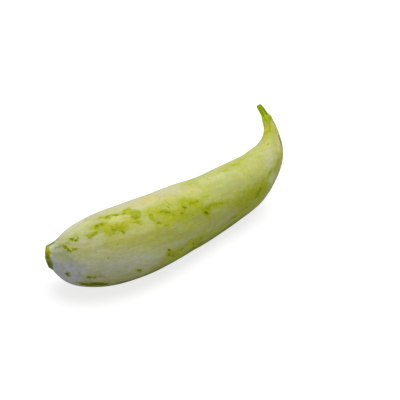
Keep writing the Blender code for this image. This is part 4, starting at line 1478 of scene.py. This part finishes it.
def store_on_stalk(name, values):
    """Values round the stalk as one row, or along it as one column."""
    store(stalk_skin, name, np.broadcast_to(values, stalk_rings.shape[:2]))


stalk_along = np.concatenate([stalk_distances, STALK_END + 1 - cut_shares])
stalk_place = np.concatenate([stalk_radii, stalk_radii[-1:] * cut_shares[:, None]])
edge = np.concatenate([ease(*EDGE_STARTS, stalk_distances), ease(*EDGE_SHARES, cut_shares)])
cut_mask = np.concatenate([np.zeros(STALK_RINGS), 1 - ease(*PITH_SHARES, cut_shares)])
store(stalk_skin, "straight", straightened(stalk_along[:, None], stalk_place, stalk_angles))
store_on_stalk("rib", 0.5 + 0.5 * np.cos(RIBS * stalk_angles))
# Painted light on one side of the stalk (sun), painted shade on the other (shade)
store_on_stalk("sun", towards(stalk_angles, STALK_PAINTED_LIGHT_SIDE))
store_on_stalk("shade", towards(stalk_angles, STALK_PAINTED_SHADE_SIDE))
store_on_stalk("edge", edge[:, None])
store_on_stalk("cut", cut_mask[:, None])
stalk_length = float(stalk_along.max() - stalk_along.min())
print("straightened length of the stalk:", round(stalk_length, 1), "mm")

# %% [markdown]
# The stalk is the greenest part. Its ribs are a little yellower, the hollows between them are darker, and
# fine fibres run along it. One side is painted brighter as painted light and the other painted darker as
# painted shade, in the colour itself, on top of the lamp's own shading. The cut is pale, dry and much
# rougher than the waxy rind round it. Thin green tissue lets more light through than the fruit does, so
# more of it is subsurface.

# %% Finish of the stalk
STALK_GREEN = (0.35, 0.46, 0.002)
STALK_HOLLOW = (0.22, 0.31, 0.002)
STALK_RIB = (0.43, 0.53, 0.01)
# Painted light and painted shade for the two sides of the stalk
STALK_PAINTED_LIGHT = (0.60, 0.76, 0.004)
STALK_PAINTED_LIGHT_STRENGTH = 0.9
STALK_PAINTED_SHADE = (0.15, 0.22, 0.001)
STALK_PAINTED_SHADE_STRENGTH = 0.62
CUT_EDGE = (0.17, 0.20, 0.02)
CUT_EDGE_STRENGTH = 0.8
CUT_COLOUR = (0.50, 0.52, 0.22)
CUT_STRANDS = (0.34, 0.36, 0.10)
FINE_FIBRE_HEIGHT = 0.4


def stalk_colour(tree, fibres):
    """Ribs and hollows, the bright and the dark side, fibres, and the cut."""
    ribs = attribute(tree, "rib")
    colour = paint(tree, between(tree, ribs, low=0.1, high=0.6), STALK_HOLLOW, STALK_GREEN)
    colour = paint(tree, between(tree, ribs, low=0.6, high=1.0, stop=0.7), colour, STALK_RIB)
    # Painted light on one side, painted shade on the other
    colour = paint(tree, faded(tree, "sun", STALK_PAINTED_LIGHT_STRENGTH), colour, STALK_PAINTED_LIGHT)
    colour = paint(tree, faded(tree, "shade", STALK_PAINTED_SHADE_STRENGTH), colour, STALK_PAINTED_SHADE)
    colour = paint(tree, between(tree, fibres, low=0.5, high=0.8, stop=0.5), colour, STALK_HOLLOW)
    colour = paint(tree, faded(tree, "edge", CUT_EDGE_STRENGTH), colour, CUT_EDGE)
    strands = between(tree, noise(tree, 0.5, detail=3.0), low=0.45, high=0.6)
    cut = paint(tree, strands, CUT_COLOUR, CUT_STRANDS)
    return paint(tree, attribute(tree, "cut"), colour, cut)


def stalk_finish():
    material, tree, shader = new_finish("green_stalk_finish")
    fibres = noise(tree, 0.7, stretch=12.0, detail=3.0)
    rough = between(tree, attribute(tree, "cut"), low=0.0, high=1.0, start=0.46, stop=0.8)
    fine = maths(tree, "MULTIPLY", noise(tree, 0.4, detail=2.0), FINE_FIBRE_HEIGHT)
    height = maths(tree, "ADD", fibres, fine)
    bump = new_node(tree, "Bump", Height=height, Strength=0.6, Distance=0.3 * MM)
    fill(tree, shader, Base_Color=stalk_colour(tree, fibres), Roughness=rough)
    fill(tree, shader, Normal=bump.outputs["Normal"])
    fill(tree, shader, Specular_IOR_Level=WAX_GLOSS, Specular_Tint=WAX_TINT)
    fill(tree, shader, Subsurface_Weight=0.35, Subsurface_Radius=(1.0, 1.0, 0.2), Subsurface_Scale=3 * MM)
    return material


stalk_skin.data.materials.append(stalk_finish())
print("stalk finish:", len(stalk_skin.data.materials[0].node_tree.nodes), "nodes")

# %% [markdown]
# ## Skins on solids
#
# Each skin now stands for the solid that it was made from. The solid could be deleted, but a simulation
# touches it and not the skin, so it stays in the model, hidden. The skins ride on its body.

# %% Replace the solids
for skin, node, slot in ((fruit_skin, "fruit", "gourd_skin"), (stalk_skin, "stalk", "green_stalk")):
    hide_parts(node)
    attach(skin, "root")
    lowest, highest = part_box(node)
    print(node, "solid from", tuple(lowest), "to", tuple(highest))

# %% [markdown]
# ## Floor, light and camera
#
# The gourd lies on a plain white floor. A floor as bright as white paper would throw so much
# light back up that the gourd's underside lost its shade. So the camera sees the floor
# brighter than the gourd does: a light path node can tell the two apart. This is a studio
# trick for the floor alone, which is stage and no part of the gourd.

# %% Floor
FLOOR_SIZE = 30.0
FLOOR_DROP = 0.0002
FLOOR_SEEN = (0.30, 0.30, 0.30)
FLOOR_BOUNCE = (0.48, 0.48, 0.48)
FLOOR_LIFT = 0.78
WHITE = (1.0, 1.0, 1.0, 1.0)


def floor_finish():
    """Matt white. The camera sees it a little lifted, and the gourd gets less light back from it."""
    material, tree, shader = new_finish("floor_white")
    seen = tree.nodes.new("ShaderNodeLightPath").outputs["Is Camera Ray"]
    fill(tree, shader, Base_Color=paint(tree, seen, FLOOR_BOUNCE, FLOOR_SEEN))
    fill(tree, shader, Emission_Strength=maths(tree, "MULTIPLY", seen, FLOOR_LIFT))
    fill(tree, shader, Emission_Color=WHITE, Roughness=0.9, Specular_IOR_Level=0.1)
    return material


def make_floor():
    data = bpy.data.meshes.new("floor")
    half = FLOOR_SIZE / 2
    corners = [(x, y, -FLOOR_DROP) for x, y in ((-half, -half), (half, -half), (half, half), (-half, half))]
    data.from_pydata(corners, [], [(0, 1, 2, 3)])
    data.materials.append(floor_finish())
    floor = bpy.data.objects.new("floor", data)
    bpy.context.collection.objects.link(floor)


make_floor()
print("floor:", FLOOR_SIZE, "m across")

# %% [markdown]
# The camera stands in front of the gourd, a little to its left, and looks down on it at 35
# degrees. A long lens from far off keeps both ends of the gourd at nearly the same size, as
# a product photo does. A short lens close by would make the near end look swollen.

# %% Camera
CAMERA_PLACE = Vector((-0.3178, -0.5242, 0.4695))
CAMERA_HEADING = math.radians(32.9)
CAMERA_FALL = math.radians(35.0)
CAMERA_LENS = 85.0
ahead = Vector((
    math.sin(CAMERA_HEADING) * math.cos(CAMERA_FALL),
    math.cos(CAMERA_HEADING) * math.cos(CAMERA_FALL),
    -math.sin(CAMERA_FALL),
))
camera = bpy.data.objects.new("camera", bpy.data.cameras.new("camera"))
camera.data.lens = CAMERA_LENS
camera.location = CAMERA_PLACE
camera.rotation_euler = ahead.to_track_quat("-Z", "Y").to_euler()
bpy.context.collection.objects.link(camera)
bpy.context.scene.camera = camera
print("camera looks down at", round(math.degrees(CAMERA_FALL), 1), "degrees")

# %% [markdown]
# One big soft light hangs above the gourd and a little behind it. That is what makes its top
# bright and lets the side that faces the viewer fall slowly into shade. A small lamp would do
# the same with hard edges. The surroundings are dim overhead, so they don't wash that shade
# out, and pale near the horizon, where other views look at them.

# %% Light
LIGHT_SIZE = 1.3
LIGHT_POWER = 21.0
LIGHT_HEIGHT = 1.15
LIGHT_BEHIND = 0.25
LIGHT_RIGHT = 0.15
DIM_ABOVE = 0.18
PALE_HORIZON = 0.85
HORIZON_BAND = (0.03, 0.22)


def make_light():
    """One big softbox above and behind, aimed at the middle of the gourd."""
    level_ahead = Vector((math.sin(CAMERA_HEADING), math.cos(CAMERA_HEADING), 0.0))
    level_right = Vector((math.cos(CAMERA_HEADING), -math.sin(CAMERA_HEADING), 0.0))
    lamp = bpy.data.objects.new("softbox", bpy.data.lights.new("softbox", "AREA"))
    lamp.data.size = LIGHT_SIZE
    lamp.data.energy = LIGHT_POWER
    above = Vector((0.0, 0.0, LIGHT_HEIGHT))
    lamp.location = level_ahead * LIGHT_BEHIND + level_right * LIGHT_RIGHT + above
    lamp.rotation_euler = (-lamp.location).to_track_quat("-Z", "Y").to_euler()
    bpy.context.collection.objects.link(lamp)


def make_surroundings():
    """Dim overhead and pale near the horizon."""
    world = bpy.data.worlds.new("studio")
    world.use_nodes = True
    tree = world.node_tree
    direction = tree.nodes.new("ShaderNodeTexCoord").outputs["Generated"]
    height = new_node(tree, "SeparateXYZ", Vector=direction).outputs["Z"]
    strength = between(tree, height, *HORIZON_BAND, start=PALE_HORIZON, stop=DIM_ABOVE)
    fill(tree, tree.nodes["Background"], Strength=strength, Color=WHITE)
    bpy.context.scene.world = world


make_light()
make_surroundings()
bpy.context.scene.view_settings.view_transform = "Standard"
print("softbox:", LIGHT_SIZE, "m,", LIGHT_POWER, "W")
